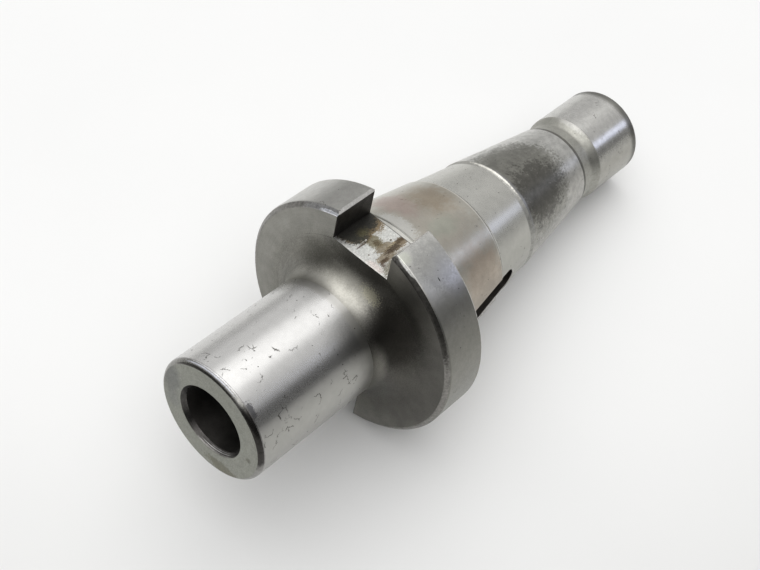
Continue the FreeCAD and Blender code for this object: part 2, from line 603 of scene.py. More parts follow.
@dataclass
class DriveSlot:
    """Square-bottomed slot for the spindle's key, its edges splayed by a small break.

    Attributes:
        half_width: Half the width of the slot.
        floor: Distance of its floor from the axis.
        face_break: Splay of the slot at the flange's two faces.
        rim_break: Width of its broken edges at the rim.
        over: How far the cutters stand out of the flange.
        rim_start: Height over the floor at which the rim's cutter starts.
    """

    half_width: float = 8.19
    floor: float = 22.48
    face_break: float = 0.2
    rim_break: float = 0.7
    over: float = 6.0
    rim_start: float = 2.0

    def cutters(self, flange: Flange, turn: float) -> list[Loops]:
        """Cutters of one slot.

        Args:
            flange: The flange that the slot is milled through.
            turn: Angle about the axis, in radians, from the upper slot.

        Returns:
            The slot with splays at the faces, and the splay at the rim.
        """
        half, splay, over = self.half_width, self.face_break, self.over
        plan = [
            (flange.front - over, half + splay + over),
            (flange.front + splay, half),
            (flange.rear - splay, half),
            (flange.rear + over, half + splay + over),
        ]
        plan += [(x, -y) for x, y in reversed(plan)]
        top = flange.radius + over
        slot = Loops(
            [[(x, y, self.floor) for x, y in plan], [(x, y, top) for x, y in plan]],
            [Zone.SLOT_WALL], Zone.SLOT_FLOOR, Zone.SLOT_WALL,
        )
        splay = self.rim_break
        corner = math.sqrt(flange.radius ** 2 - (half + splay) ** 2)
        view = [
            (half, self.floor + self.rim_start),
            (half, corner - splay),
            (half + splay + over, corner + over),
        ]
        view += [(-y, z) for y, z in reversed(view)]
        rim = Loops(
            [[(x, y, z) for y, z in view] for x in (flange.front - over, flange.rear + over)],
            [Zone.SLOT_BREAK], Zone.SLOT_WALL, Zone.SLOT_WALL,
        )
        c, s = math.cos(turn), math.sin(turn)
        for solid in (slot, rim):
            solid.rings = [
                [(x, c * y + s * z, c * z - s * y) for x, y, z in ring] for ring in solid.rings
            ]
        return [slot, rim]


@dataclass
class DriftSlot:
    """Round-ended slot across the shank, with a fine break where it comes out.

    Attributes:
        start: Place of its front end.
        end: Place of its rear end.
        half_width: Half its width, and the radius of its ends.
        edge_break: Width of the break at its rim.
        over: How far the cutter stands out of the shank.
        round_steps: Segments in each round end.
    """

    start: float = 63.5
    end: float = 88.4
    half_width: float = 3.38
    edge_break: float = 0.22
    over: float = 3.0
    round_steps: int = 24

    def outline(self) -> list[tuple[float, float, float, float]]:
        """Outline of the slot as seen along y.

        Returns:
            Its points and outward directions, as x, z, dx, dz.
        """
        found = []
        ends = ((self.end - self.half_width, 90.0), (self.start + self.half_width, -90.0))
        for place, first in ends:
            for k in range(self.round_steps + 1):
                angle = math.radians(first - 180.0 * k / self.round_steps)
                dx, dz = math.cos(angle), math.sin(angle)
                found.append((place + self.half_width * dx, self.half_width * dz, dx, dz))
        return found

    def cutter(self, shank: Shank) -> Loops:
        """Cutter of the whole slot, flared where it leaves the shank on both sides.

        Args:
            shank: The shank that the slot is milled through.

        Returns:
            The cutter.
        """
        outline = self.outline()

        def ring(side: float, out: float, lift: float) -> list[Triple]:
            """Outline laid on one side of the shank.

            Args:
                side: 1 for the side towards y, -1 for the other.
                out: How far it is pushed out in its own plane.
                lift: How far it is lifted off the shank's surface.

            Returns:
                The points of the ring.
            """
            made = []
            for x, z, dx, dz in outline:
                px, pz = x + dx * out, z + dz * out
                made.append((px, side * (math.sqrt(shank.surface(px) ** 2 - pz ** 2) + lift), pz))
            return made

        fine, over = self.edge_break, self.over
        flare = fine + over
        rings = [ring(-1, flare, over), ring(-1, 0, -fine), ring(1, 0, -fine), ring(1, flare, over)]
        walls = [Zone.SLOT_BREAK, Zone.DRIFT_WALL, Zone.SLOT_BREAK]
        return Loops(rings, walls, Zone.SLOT_WALL, Zone.SLOT_WALL)


@dataclass(frozen=True)
class Knock:
    """Shallow dent from a blow: the part of a ball that lies inside the steel.

    Attributes:
        x: Place of the ball's middle along the axis.
        y: Its place to the left of the upper slot.
        z: Its height towards that slot.
        radius: Radius of the ball.
    """

    x: float
    y: float
    z: float
    radius: float

    def mesh(self, name: str) -> bpy.types.Mesh:
        """The ball as a closed mesh in millimetres.

        Args:
            name: Name of the mesh.

        Returns:
            The mesh, with the dent's zone as its material index.
        """
        # The ball is turned by part of a step, so that its points meet no edge squarely.
        rings, columns, offset = 16, 24, 0.37
        verts = [(self.x, self.y, self.z + self.radius)]
        for i in range(1, rings):
            a = math.pi * i / rings
            for j in range(columns):
                b = 2 * math.pi * (j + offset) / columns
                verts.append((
                    self.x + self.radius * math.sin(a) * math.cos(b),
                    self.y + self.radius * math.sin(a) * math.sin(b),
                    self.z + self.radius * math.cos(a),
                ))
        verts.append((self.x, self.y, self.z - self.radius))
        faces = []
        end = len(verts) - 1
        for j in range(columns):
            k = (j + 1) % columns
            faces.append((0, 1 + j, 1 + k))
            for i in range(rings - 2):
                a, b = 1 + i * columns, 1 + (i + 1) * columns
                faces.append((a + j, b + j, b + k, a + k))
            faces.append((end, end - columns + k, end - columns + j))
        mesh = bpy.data.meshes.new(name)
        mesh.from_pydata(verts, [], faces)
        mesh.polygons.foreach_set("material_index", [int(Zone.KNOCK)] * len(faces))
        return mesh


# The whole mesh


class HolderMesh:
    """The holder's mesh: turned, then cut, with normals worked out from its section.

    Attributes:
        knocks: The dents.
    """

    knocks: ClassVar[tuple[Knock, ...]] = (Knock(43.2, -8.9, 32.1, 1.55),)

    def __init__(self) -> None:
        """Sets up the parts and the turned section."""
        self.nose = Nose()
        self.socket = TaperSocket()
        self.flange = Flange()
        self.shank = Shank()
        self.pilot = Pilot()
        self.drive_slot = DriveSlot()
        self.drift_slot = DriftSlot()
        corners = self.socket.corners() + self.nose.corners() + self.flange.corners()
        corners += self.shank.corners(self.flange.rear) + self.pilot.corners()
        self.section = Section.from_corners(corners)

    def turned(self) -> bpy.types.Mesh:
        """The turned body.

        Returns:
            A closed mesh in millimetres, with the zones as its material indices.
        """
        points, zones = self.section.points, self.section.zones
        inner = points[1:-1]
        x = np.repeat(inner[:, 0:1], COLUMNS, axis=1)
        r = np.repeat(inner[:, 1:2], COLUMNS, axis=1)
        threaded = np.zeros(len(inner), dtype=bool)
        threaded[1:] = (zones[1:-1] == Zone.THREAD)
        turns = np.arange(COLUMNS) * 2 * math.pi / COLUMNS
        grid = np.repeat(turns[None, :], len(inner), axis=0)
        r = r + np.where(threaded[:, None], self.pilot.thread(x, grid), 0.0)
        rings = np.stack([x, r * np.sin(grid), r * np.cos(grid)], axis=2).reshape(-1, 3)
        poles = [(points[0][0], 0, 0), (points[-1][0], 0, 0)]
        verts = [tuple(v) for v in rings] + poles
        first_pole, last_pole = len(rings), len(rings) + 1
        faces, marks = [], []
        last = (len(inner) - 1) * COLUMNS
        for j in range(COLUMNS):
            k = (j + 1) % COLUMNS
            faces.append((first_pole, j, k))
            marks.append(int(zones[0]))
            for i in range(len(inner) - 1):
                a, b = i * COLUMNS, (i + 1) * COLUMNS
                faces.append((a + j, b + j, b + k, a + k))
                marks.append(int(zones[i + 1]))
            faces.append((last + j, last_pole, last + k))
            marks.append(int(zones[-1]))
        mesh = bpy.data.meshes.new("turned")
        mesh.from_pydata(verts, [], faces)
        mesh.polygons.foreach_set("material_index", marks)
        return mesh

    def cutters(self) -> list[bpy.types.Mesh]:
        """Meshes of every slot and dent.

        Returns:
            The meshes, in the order in which they are cut.
        """
        solids = [self.drift_slot.cutter(self.shank)]
        for turn in (0.0, math.pi):
            solids += self.drive_slot.cutters(self.flange, turn)
        meshes = [solid.mesh(f"cutter_{i}") for i, solid in enumerate(solids)]
        return meshes + [knock.mesh(f"knock_{i}") for i, knock in enumerate(self.knocks)]

    def cut(self) -> bpy.types.Mesh:
        """The turned body with every slot and dent cut out of it.

        Returns:
            The cut mesh in millimetres, with the zones as its material indices.
        """
        body = bpy.data.objects.new("body_to_cut", self.turned())
        bpy.context.scene.collection.objects.link(body)
        tools = []
        for mesh in self.cutters():
            tool = bpy.data.objects.new(mesh.name, mesh)
            bpy.context.scene.collection.objects.link(tool)
            tools.append(tool)
            cutting = body.modifiers.new(mesh.name, "BOOLEAN")
            cutting.operation = "DIFFERENCE"
            cutting.solver = "EXACT"
            cutting.material_mode = "INDEX"
            cutting.object = tool
        view = bpy.context.view_layer.depsgraph
        view.update()
        mesh = bpy.data.meshes.new_from_object(body.evaluated_get(view))
        for thing in tools + [body]:
            old = thing.data
            bpy.data.objects.remove(thing)
            bpy.data.meshes.remove(old)
        mesh.name = "holder"
        return mesh

    def corner_normals(self, mesh: bpy.types.Mesh) -> np.ndarray:
        """Normals of every face corner, exact on turned and ground surfaces.

        Args:
            mesh: The cut mesh in millimetres.

        Returns:
            One normal for each face corner.
        """
        vertex = np.empty(len(mesh.loops), dtype=np.int64)
        mesh.loops.foreach_get("vertex_index", vertex)
        place = np.empty(len(mesh.vertices) * 3)
        mesh.vertices.foreach_get("co", place)
        place = place.reshape(-1, 3)[vertex]
        sizes = np.empty(len(mesh.polygons), dtype=np.int64)
        mesh.polygons.foreach_get("loop_total", sizes)
        marks = np.empty(len(mesh.polygons), dtype=np.int64)
        mesh.polygons.foreach_get("material_index", marks)
        facing = np.array([face.normal for face in mesh.polygons]).reshape(-1, 3)
        zone = np.repeat(marks, sizes)
        normals = np.repeat(facing, sizes, axis=0)
        r = np.hypot(place[:, 1], place[:, 2])
        turn = np.arctan2(place[:, 1], place[:, 2])
        s, c = np.sin(turn), np.cos(turn)
        for mark in np.unique(marks):
            here = np.flatnonzero(zone == mark)
            # The zones before the thread are turned, and those after it are cut. The flat
            # faces of the slots keep the normals of their faces.
            if mark < Zone.THREAD:
                flat = self._section_normals(place[here, 0], r[here], int(mark))
                outward = [flat[:, 0], flat[:, 1] * s[here], flat[:, 1] * c[here]]
                normals[here] = np.stack(outward, axis=1)
            elif mark == Zone.THREAD:
                normals[here] = self._thread_normals(place[here, 0], turn[here])
            elif mark == Zone.DRIFT_WALL:
                normals[here] = self._drift_normals(place[here], normals[here])
            elif mark == Zone.KNOCK:
                normals[here] = self._knock_normals(place[here])
        return normals

    def _section_normals(self, x: np.ndarray, r: np.ndarray, mark: int) -> np.ndarray:
        """Section normals at points of one zone, by the nearest segment of that zone.

        Args:
            x: Places along the axis.
            r: Distances from the axis.
            mark: Number of the zone.

        Returns:
            The normals in the plane of the section.
        """
        points, normals = self.section.points, self.section.normals
        best = np.full(len(x), np.inf)
        found = np.zeros((len(x), 2))
        for k in np.flatnonzero(self.section.zones == mark):
            start, along = points[k], points[k + 1] - points[k]
            length = float(along @ along)
            # Runs and roundings end in the same points, so some segments have no length.
            if length < 1e-12:
                continue
            share = ((x - start[0]) * along[0] + (r - start[1]) * along[1]) / length
            share = np.clip(share, 0.0, 1.0)
            gap = np.hypot(x - start[0] - share * along[0], r - start[1] - share * along[1])
            normal = normals[k] + share[:, None] * (normals[k + 1] - normals[k])
            closer = gap < best - 1e-9
            best[closer] = gap[closer]
            found[closer] = normal[closer]
        return unit(found)

    def _thread_normals(self, x: np.ndarray, turn: np.ndarray) -> np.ndarray:
        """Normals of the thread, towards the axis, from the slopes of its groove.

        Args:
            x: Places along the axis.
            turn: Angles about the axis, in radians.

        Returns:
            The normals.
        """
        # Distance in millimetres over which each slope is taken.
        step = 0.08
        groove, about = self.pilot.thread, step / self.pilot.core_radius
        along = (groove(x + step, turn) - groove(x - step, turn)) / (2 * step)
        around = (groove(x, turn + about) - groove(x, turn - about)) / (2 * step)
        s, c = np.sin(turn), np.cos(turn)
        return unit(np.stack([along, -s + around * c, -c - around * s], axis=1))

    def _drift_normals(self, place: np.ndarray, flat: np.ndarray) -> np.ndarray:
        """Normals of the drift slot's wall, smooth round its two ends.

        Args:
            place: Points on the wall.
            flat: Normals of the faces that they are corners of.

        Returns:
            The normals, flat at any point that is too near the slot's middle to tell.
        """
        slot, near = self.drift_slot, 1.0
        centre = np.clip(place[:, 0], slot.start + slot.half_width, slot.end - slot.half_width)
        made = np.stack([centre - place[:, 0], np.zeros(len(place)), -place[:, 2]], axis=1)
        length = np.linalg.norm(made, axis=1)[:, None]
        return np.where(length > near, made / np.maximum(length, 1e-9), flat)

    def _knock_normals(self, place: np.ndarray) -> np.ndarray:
        """Normals of the dents, each towards the middle of its ball.

        Args:
            place: Points in the dents.

        Returns:
            The normals.
        """
        centres = np.array([(knock.x, knock.y, knock.z) for knock in self.knocks])
        gaps = np.linalg.norm(place[:, None, :] - centres[None], axis=2)
        return unit(centres[np.argmin(gaps, axis=1)] - place)


# Finishes


def linear(hex_colour: str) -> tuple[float, float, float, float]:
    """Linear colour of an sRGB hex value.

    Args:
        hex_colour: Six hex digits.

    Returns:
        Red, green, blue and an alpha of 1.
    """
    parts = [int(hex_colour[i:i + 2], 16) / 255 for i in (0, 2, 4)]
    made = [c / 12.92 if c <= 0.04045 else ((c + 0.055) / 1.055) ** 2.4 for c in parts]
    return (made[0], made[1], made[2], 1.0)


def add_node(
    tree: bpy.types.NodeTree, kind: str, feeds: dict, out: int | str = 0, **settings: str
) -> Output | None:
    """Adds one node with its settings and links.

    Args:
        tree: Node tree to add to.
        kind: Node type without its ShaderNode prefix.
        feeds: Input names or numbers, each with an output to link or a value to set.
        out: Output name or number to hand back.
        **settings: Properties of the node.

    Returns:
        The output, or None for a node without outputs.
    """
    node = tree.nodes.new("ShaderNode" + kind)
    for name, value in settings.items():
        setattr(node, name, value)
    for name, value in feeds.items():
        if isinstance(value, Output):
            tree.links.new(value, node.inputs[name])
        else:
            node.inputs[name].default_value = value
    return node.outputs[out] if node.outputs else None


@dataclass(frozen=True)
class StainOrLight:
    """Place on a surface that shows something else than the metal round it: dirt, wear, painted
    light or painted shade.

    Attributes:
        middle: Its middle, in millimetres in the holder's axes.
        reach: Its half sizes; AROUND leaves it without an end along that axis.
        colour: sRGB hex of what shows there.
        roughness: Roughness there.
        strength: How much of the metal it covers, from 0 to 1.
        soft: Width of its edge, as a share of its reach.
        ragged: How far its edge wanders, as a share of its reach.
        lumps: Sizes of the lobes of its edge along x, y and z.
        broken: How far specks break up its edge, as a share of its reach.
        speck_mm: Size of those specks.
        streak: How many times longer the specks are along x.
        metallic: 1 for bare metal, less for rust, film and painted light.
    """

    middle: Triple
    reach: Triple
    colour: str
    roughness: float = 0.4
    strength: float = 1.0
    soft: float = 0.3
    ragged: float = 0.0
    lumps: Triple = (1.5, 1.5, 1.5)
    broken: float = 0.0
    speck_mm: float = 0.35
    streak: float = 1.0
    metallic: float = 1.0

    @classmethod
    def ring(
        cls, x: float, half: float, colour: str, *look: float, **edge: float | Triple
    ) -> "StainOrLight":
        """Stain all round the axis.

        Args:
            x: Its middle along the axis.
            half: Half its width.
            colour: sRGB hex of what shows there.
            *look: Its roughness, strength and softness.
            **edge: The rest of its fields.

        Returns:
            The stain.
        """
        return cls((x, 0, 0), (half, AROUND, AROUND), colour, *look, **edge)

    @classmethod
    def on_slot_floor(
        cls, x: float, y: float, long: float, wide: float, colour: str,
        *look: float, **edge: float | Triple,
    ) -> "StainOrLight":
        """Stain on the floor of the upper drive slot.

        Args:
            x: Its middle along the axis.
            y: Its middle across the slot.
            long: Half its length along the axis.
            wide: Half its width across the slot.
            colour: sRGB hex of what shows there.
            *look: Its roughness, strength and softness.
            **edge: The rest of its fields.

        Returns:
            The stain, shallow enough to leave the lower slot clean.
        """
        shallow = 6.0
        return cls((x, y, DriveSlot.floor), (long, wide, shallow), colour, *look, **edge)


@dataclass(frozen=True)
class Scratches:
    """Short jagged scratches in clusters on a surface of one radius.

    They are pieces of a net of cracks, so that they bend and meet as real ones do.

    Attributes:
        radius: Radius at which the surface is unrolled.
        spared: Level of the pattern of clusters below which there are none, from 0 to 1.
        cell_mm: Mesh of the net.
        width_mm: Width of a scratch, wider than a real one so that the render shows it.
        jagged_mm: How far a scratch wanders from its line.
        cluster_mm: Spacing of the clusters.
        seed: Shift of the whole pattern.
        strength: How dark a scratch is, from 0 to 1.
        places: Clusters of their own, each as x, degrees about the axis, and reach.
    """

    radius: float
    spared: float
    cell_mm: float
    width_mm: float
    jagged_mm: float
    cluster_mm: float
    seed: float
    strength: float
    places: tuple[Triple, ...] = ()


@dataclass(frozen=True)
class Steel:
    """Finish of one zone.

    Attributes:
        name: Name of the material: the metal and how its surface was made.
        colour: sRGB hex of the metal.
        roughness: Roughness of the cleanest metal.
        grain: Strength of the tool marks round the axis, 0 for none.
        grain_mm: Spacing of those marks, coarser than a real feed so that they show.
        brushed: How much the marks stretch a reflection.
        cloudy: How much the brightness wanders.
        cloud_mm: Size of that wandering.
        mottled: How much brightness and gloss change from speck to speck.
        pits: Share of the surface's cells that hold a pit.
        scratches: Its scratches.
        stains_and_light: What lies on the metal: dirt, wear and painted light and shade, the lowest
            first.
    """

    name: str
    colour: str
    roughness: float
    grain: float = 0.0
    grain_mm: float = 0.25
    brushed: float = 0.5
    cloudy: float = 0.1
    cloud_mm: float = 4.0
    mottled: float = 0.06
    pits: float = 0.0
    scratches: tuple[Scratches, ...] = ()
    stains_and_light: tuple[StainOrLight, ...] = ()

    def material(self) -> bpy.types.Material:
        """Lays every layer of this finish.

        Returns:
            The material.
        """
        surface = SteelSurface(self)
        surface.tool_marks()
        for patch in self.stains_and_light:
            surface.patch(patch)
        surface.clouds()
        for scratches in self.scratches:
            surface.scratch(scratches)
        surface.pits()
        return surface.finish()


class SteelSurface:
    """Node tree of one finish, built up in layers over the bare metal.

    The feeds of a Mix node are numbered: 0 is its factor, 2 and 3 are its numbers and 6
    and 7 its colours, of which output 2 hands back the mixed one.

    Attributes:
        mark_wander: How fast a tool mark changes across the axis, next to 1 along it.
        mark_height_mm: Depth of the tool marks at a strength of 1.
        smoothest: Share of roughness that the marks take away at their tops.
        roughest: Share of roughness that they add in their grooves.
        bends_per_mm: How often a scratch bends.
        scratch_colour: sRGB hex of a scratch.
        scratch_roughness: Roughness in a scratch.
        pit_cells_per_mm: Cells to a millimetre that may each hold a pit.
        pit_radius: Radius of a pit as a share of its cell, at its faint edge.
        pit_colour: sRGB hex of a pit.
        pit_roughness: Roughness in a pit.
    """

    mark_wander: ClassVar[float] = 0.03
    mark_height_mm: ClassVar[float] = 0.004
    smoothest: ClassVar[float] = 0.25
    roughest: ClassVar[float] = 0.35
    bends_per_mm: ClassVar[float] = 1.4
    scratch_colour: ClassVar[str] = "45433f"
    scratch_roughness: ClassVar[float] = 0.5
    pit_cells_per_mm: ClassVar[float] = 0.55
    pit_radius: ClassVar[float] = 0.1
    pit_colour: ClassVar[str] = "3a3835"
    pit_roughness: ClassVar[float] = 0.6

    def __init__(self, steel: Steel) -> None:
        """Starts the tree with the holder's coordinates in millimetres.

        Args:
            steel: The finish.
        """
        self.steel = steel
        self.material = bpy.data.materials.new(steel.name)
        self.material.use_nodes = True
        tree = self.material.node_tree
        tree.nodes.clear()
        self.add: Callable[..., Output] = partial(add_node, tree)
        raw = self.add("TexCoord", {}, "Object")
        self.place = self.add("VectorMath", {0: raw, "Scale": 1 / MM}, operation="SCALE")
        self.x, self.y, self.z = self.add("SeparateXYZ", {0: self.place}).node.outputs
        self.colour: Output | tuple = linear(steel.colour)
        self.roughness: Output | float = steel.roughness
        self.metallic: Output | float = 1.0
        self.height: Output | None = None

    def lay(self, mask: Output, colour: str, roughness: float, metallic: float = 1.0) -> None:
        """Covers the surface so far where a mask is 1.

        Args:
            mask: How much is covered, from 0 to 1.
            colour: sRGB hex of the cover.
            roughness: Its roughness.
            metallic: 1 for metal, less for rust, film and painted light.
        """
        feeds = {0: mask, 6: self.colour, 7: linear(colour)}
        self.colour = self.add("Mix", feeds, 2, data_type="RGBA")
        self.roughness = self.add("Mix", {0: mask, 2: self.roughness, 3: roughness})
        if metallic < 1.0:
            self.metallic = self.add("Mix", {0: mask, 2: self.metallic, 3: metallic})

    def tool_marks(self) -> None:
        """Lays the marks that a tool left round the axis: lines along which little changes."""
        steel = self.steel
        if steel.grain <= 0:
            return
        across = self.add("VectorMath", {0: self.place, 1: (0, 1, 1)}, operation="MULTIPLY")
        r = self.add("VectorMath", {0: across}, "Value", operation="LENGTH")
        outward = self.add("CombineXYZ", {0: r})
        feeds = {0: self.place, 1: (1, self.mark_wander, self.mark_wander), 2: outward}
        where = self.add("VectorMath", feeds, operation="MULTIPLY_ADD")
        lines = self.add("TexNoise", {
            "Vector": where, "Scale": 1 / steel.grain_mm, "Detail": 3.0, "Roughness": 0.6,
        })
        self.roughness = self.add("MapRange", {
            "Value": lines, "From Min": 0.3, "From Max": 0.7,
            "To Min": steel.roughness * (1 - self.smoothest * steel.grain),
            "To Max": steel.roughness * (1 + self.roughest * steel.grain),
        })
        height = self.mark_height_mm * steel.grain
        self.height = self.add("Math", {0: lines, 1: height, 2: 0.0}, operation="MULTIPLY_ADD")

    def clouds(self) -> None:
        """Lets brightness wander in soft clouds, and brightness and gloss from speck to speck."""
        steel = self.steel
        lumps = self.add("TexNoise", {
            "Vector": self.place, "Scale": 1 / steel.cloud_mm, "Detail": 5.0, "Roughness": 0.6,
        })
        shade = self.add("MapRange", {
            "Value": lumps, "From Min": 0.25, "From Max": 0.75,
            "To Min": 1 + steel.cloudy, "To Max": 1 - steel.cloudy,
        }, interpolation_type="SMOOTHSTEP")
        grit = self.add("TexNoise", {
            "Vector": self.place, "Scale": 1 / SPECK_MM, "Detail": 3.0, "Roughness": 0.7,
        })
        fleck = self.add("MapRange", {
            "Value": grit, "From Min": 0.3, "From Max": 0.7,
            "To Min": 1 + steel.mottled, "To Max": 1 - steel.mottled,
        })
        both = self.add("Math", {0: shade, 1: fleck}, operation="MULTIPLY")
        colour = self.colour if isinstance(self.colour, Output) else self.colour[:3]
        bright = self.add("VectorMath", {0: colour, 1: both}, operation="MULTIPLY")
        self.colour = self.add("VectorMath", {0: bright, 1: (1, 1, 1)}, operation="MINIMUM")
        dull = self.add("MapRange", {
            "Value": grit, "From Min": 0.3, "From Max": 0.7,
            "To Min": 1 - 3 * steel.mottled, "To Max": 1 + 3 * steel.mottled,
        })
        self.roughness = self.add("Math", {0: self.roughness, 1: dull}, operation="MULTIPLY")

    def patch(self, patch: StainOrLight) -> None:
        """Lays one patch of dirt, wear or painted light.

        Args:
            patch: The patch of dirt, wear or painted light.
        """
        away = self.add("VectorMath", {0: self.place, 1: patch.middle}, operation="SUBTRACT")
        share = self.add("VectorMath", {0: away, 1: patch.reach}, operation="DIVIDE")
        gap = self.add("VectorMath", {0: share}, "Value", operation="LENGTH")
        specks = (patch.speck_mm * patch.streak, patch.speck_mm, patch.speck_mm)
        edges = ((patch.ragged, patch.lumps, 5.0, 0.65), (patch.broken, specks, 3.0, 0.7))
        for wander, size, detail, roughness in edges:
            if not wander:
                continue
            where = self.add("VectorMath", {0: away, 1: size}, operation="DIVIDE")
            noise = self.add("TexNoise", {
                "Vector": where, "Scale": 1.0, "Detail": detail, "Roughness": roughness,
            })
            gap = self.add("Math", {0: noise, 1: 2 * wander, 2: gap}, operation="MULTIPLY_ADD")
        edge = 1 + patch.ragged + patch.broken
        mask = self.add("MapRange", {
            "Value": gap, "From Min": edge + patch.soft / 2, "From Max": edge - patch.soft / 2,
            "To Max": patch.strength,
        }, interpolation_type="SMOOTHSTEP")
        self.lay(mask, patch.colour, patch.roughness, patch.metallic)

    def scratch(self, scratches: Scratches) -> None:
        """Lays jagged dark scratches on the surface, unrolled flat.

        Args:
            scratches: The scratches.
        """
        cell = scratches.cell_mm
        turn = self.add("Math", {0: self.y, 1: self.z}, operation="ARCTAN2")
        around = self.add("Math", {0: turn, 1: scratches.radius}, operation="MULTIPLY")
        unrolled = self.add("CombineXYZ", {0: self.x, 1: around, 2: scratches.seed})
        feeds = {"Vector": unrolled, "Scale": self.bends_per_mm, "Detail": 3.0}
        wander = self.add("TexNoise", feeds, "Color")
        jag = 2 * scratches.jagged_mm
        moved = self.add("VectorMath", {0: unrolled, 1: (scratches.seed, 0, 0)})
        feeds = {0: wander, 1: (jag, jag, 0), 2: moved}
        flat = self.add("VectorMath", feeds, operation="MULTIPLY_ADD")
        edge = self.add("TexVoronoi", {"Vector": flat, "Scale": 1 / cell}, "Distance",
                        voronoi_dimensions="2D", feature="DISTANCE_TO_EDGE")
        wide = scratches.width_mm / cell
        line = self.add("MapRange", {
            "Value": edge, "From Min": 0.6 * wide, "From Max": 0.3 * wide,
            "To Max": scratches.strength,
        })
        # Half of the net's length is kept, and of that only what lies in a cluster.
        length = self.add("TexNoise", {"Vector": unrolled, "Scale": 1.0 / cell, "Detail": 1.0})
        piece = self.add("MapRange", {"Value": length, "From Min": 0.46, "From Max": 0.5})
        feeds = {"Vector": unrolled, "Scale": 1 / scratches.cluster_mm, "Detail": 1.0}
        crowd = self.add("TexNoise", feeds)
        spared = scratches.spared
        feeds = {"Value": crowd, "From Min": spared, "From Max": spared + 0.02}
        there = self.add("MapRange", feeds)
        for x, degrees, reach in scratches.places:
            middle = (x, math.radians(degrees) * scratches.radius, scratches.seed)
            gap = self.add("VectorMath", {0: unrolled, 1: middle}, "Value", operation="DISTANCE")
            near = self.add("MapRange", {"Value": gap, "From Min": reach, "From Max": 0.8 * reach})
            there = self.add("Math", {0: there, 1: near}, operation="MAXIMUM")
        cut = self.add("Math", {0: line, 1: piece}, operation="MULTIPLY")
        mask = self.add("Math", {0: cut, 1: there}, operation="MULTIPLY")
        self.lay(mask, self.scratch_colour, self.scratch_roughness)

    def pits(self) -> None:
        """Lays small round dark pits."""
        if self.steel.pits <= 0:
            return
        feeds = {"Vector": self.place, "Scale": self.pit_cells_per_mm}
        gap, tint = self.add("TexVoronoi", feeds).node.outputs[:2]
        feeds = {"Value": gap, "From Min": self.pit_radius, "From Max": self.pit_radius / 2}
        near = self.add("MapRange", feeds)
        chance = self.add("SeparateColor", {0: tint}, "Green")
        there = self.add("Math", {0: chance, 1: self.steel.pits}, operation="LESS_THAN")
        mask = self.add("Math", {0: near, 1: there}, operation="MULTIPLY")
        self.lay(mask, self.pit_colour, self.pit_roughness)

    def finish(self) -> bpy.types.Material:
        """Joins the layers to the shader.

        Returns:
            The material.
        """
        feeds = {
            "Base Color": self.colour, "Roughness": self.roughness, "Metallic": self.metallic,
        }
        if self.height is not None:
            bump = {"Height": self.height, "Strength": 1.0, "Distance": MM}
            feeds["Normal"] = self.add("Bump", bump)
        if self.steel.brushed > 0:
            feeds["Anisotropic"] = self.steel.brushed
            feeds["Anisotropic Rotation"] = 0.25
            feeds["Tangent"] = self.add("Tangent", {}, direction_type="RADIAL", axis="X")
        shader = self.add("BsdfPrincipled", feeds)
        self.add("OutputMaterial", {"Surface": shader})
        return self.material


# In this table a finish starts with its name, its colour and the roughness of its clean
# metal. A stain starts with its middle and its half sizes, or with where it lies in the
# slot or round the axis, and goes on with its colour, roughness, strength and softness.

# Round the foot of the nose: a darker ring, and painted shade that turns it black on the side away
# from the light.
FOOT_DARKENING_AND_SHADE: tuple[StainOrLight, ...] = (
    StainOrLight((44.45, 0, 0), (6, 22.3, 22.3), "5e5c54", 0.42, 0.85, 0.5, ragged=0.08, lumps=(2, 2, 2),
          broken=0.3, speck_mm=0.3),
    # Painted shade: black on the side away from the light, in two layers.
    StainOrLight((44.45, -19, 2), (9, 17, 27), "514f4b", 0.4, 0.75, 0.9, ragged=0.15, lumps=(4, 4, 4),
          broken=0.15, speck_mm=0.3),
    StainOrLight((42.4, -14.8, 9.2), (6, 8.5, 9.4), "2a2825", 0.45, 0.85, 0.9, ragged=0.1, lumps=(2, 2, 2),
          broken=0.4, speck_mm=0.3),
)

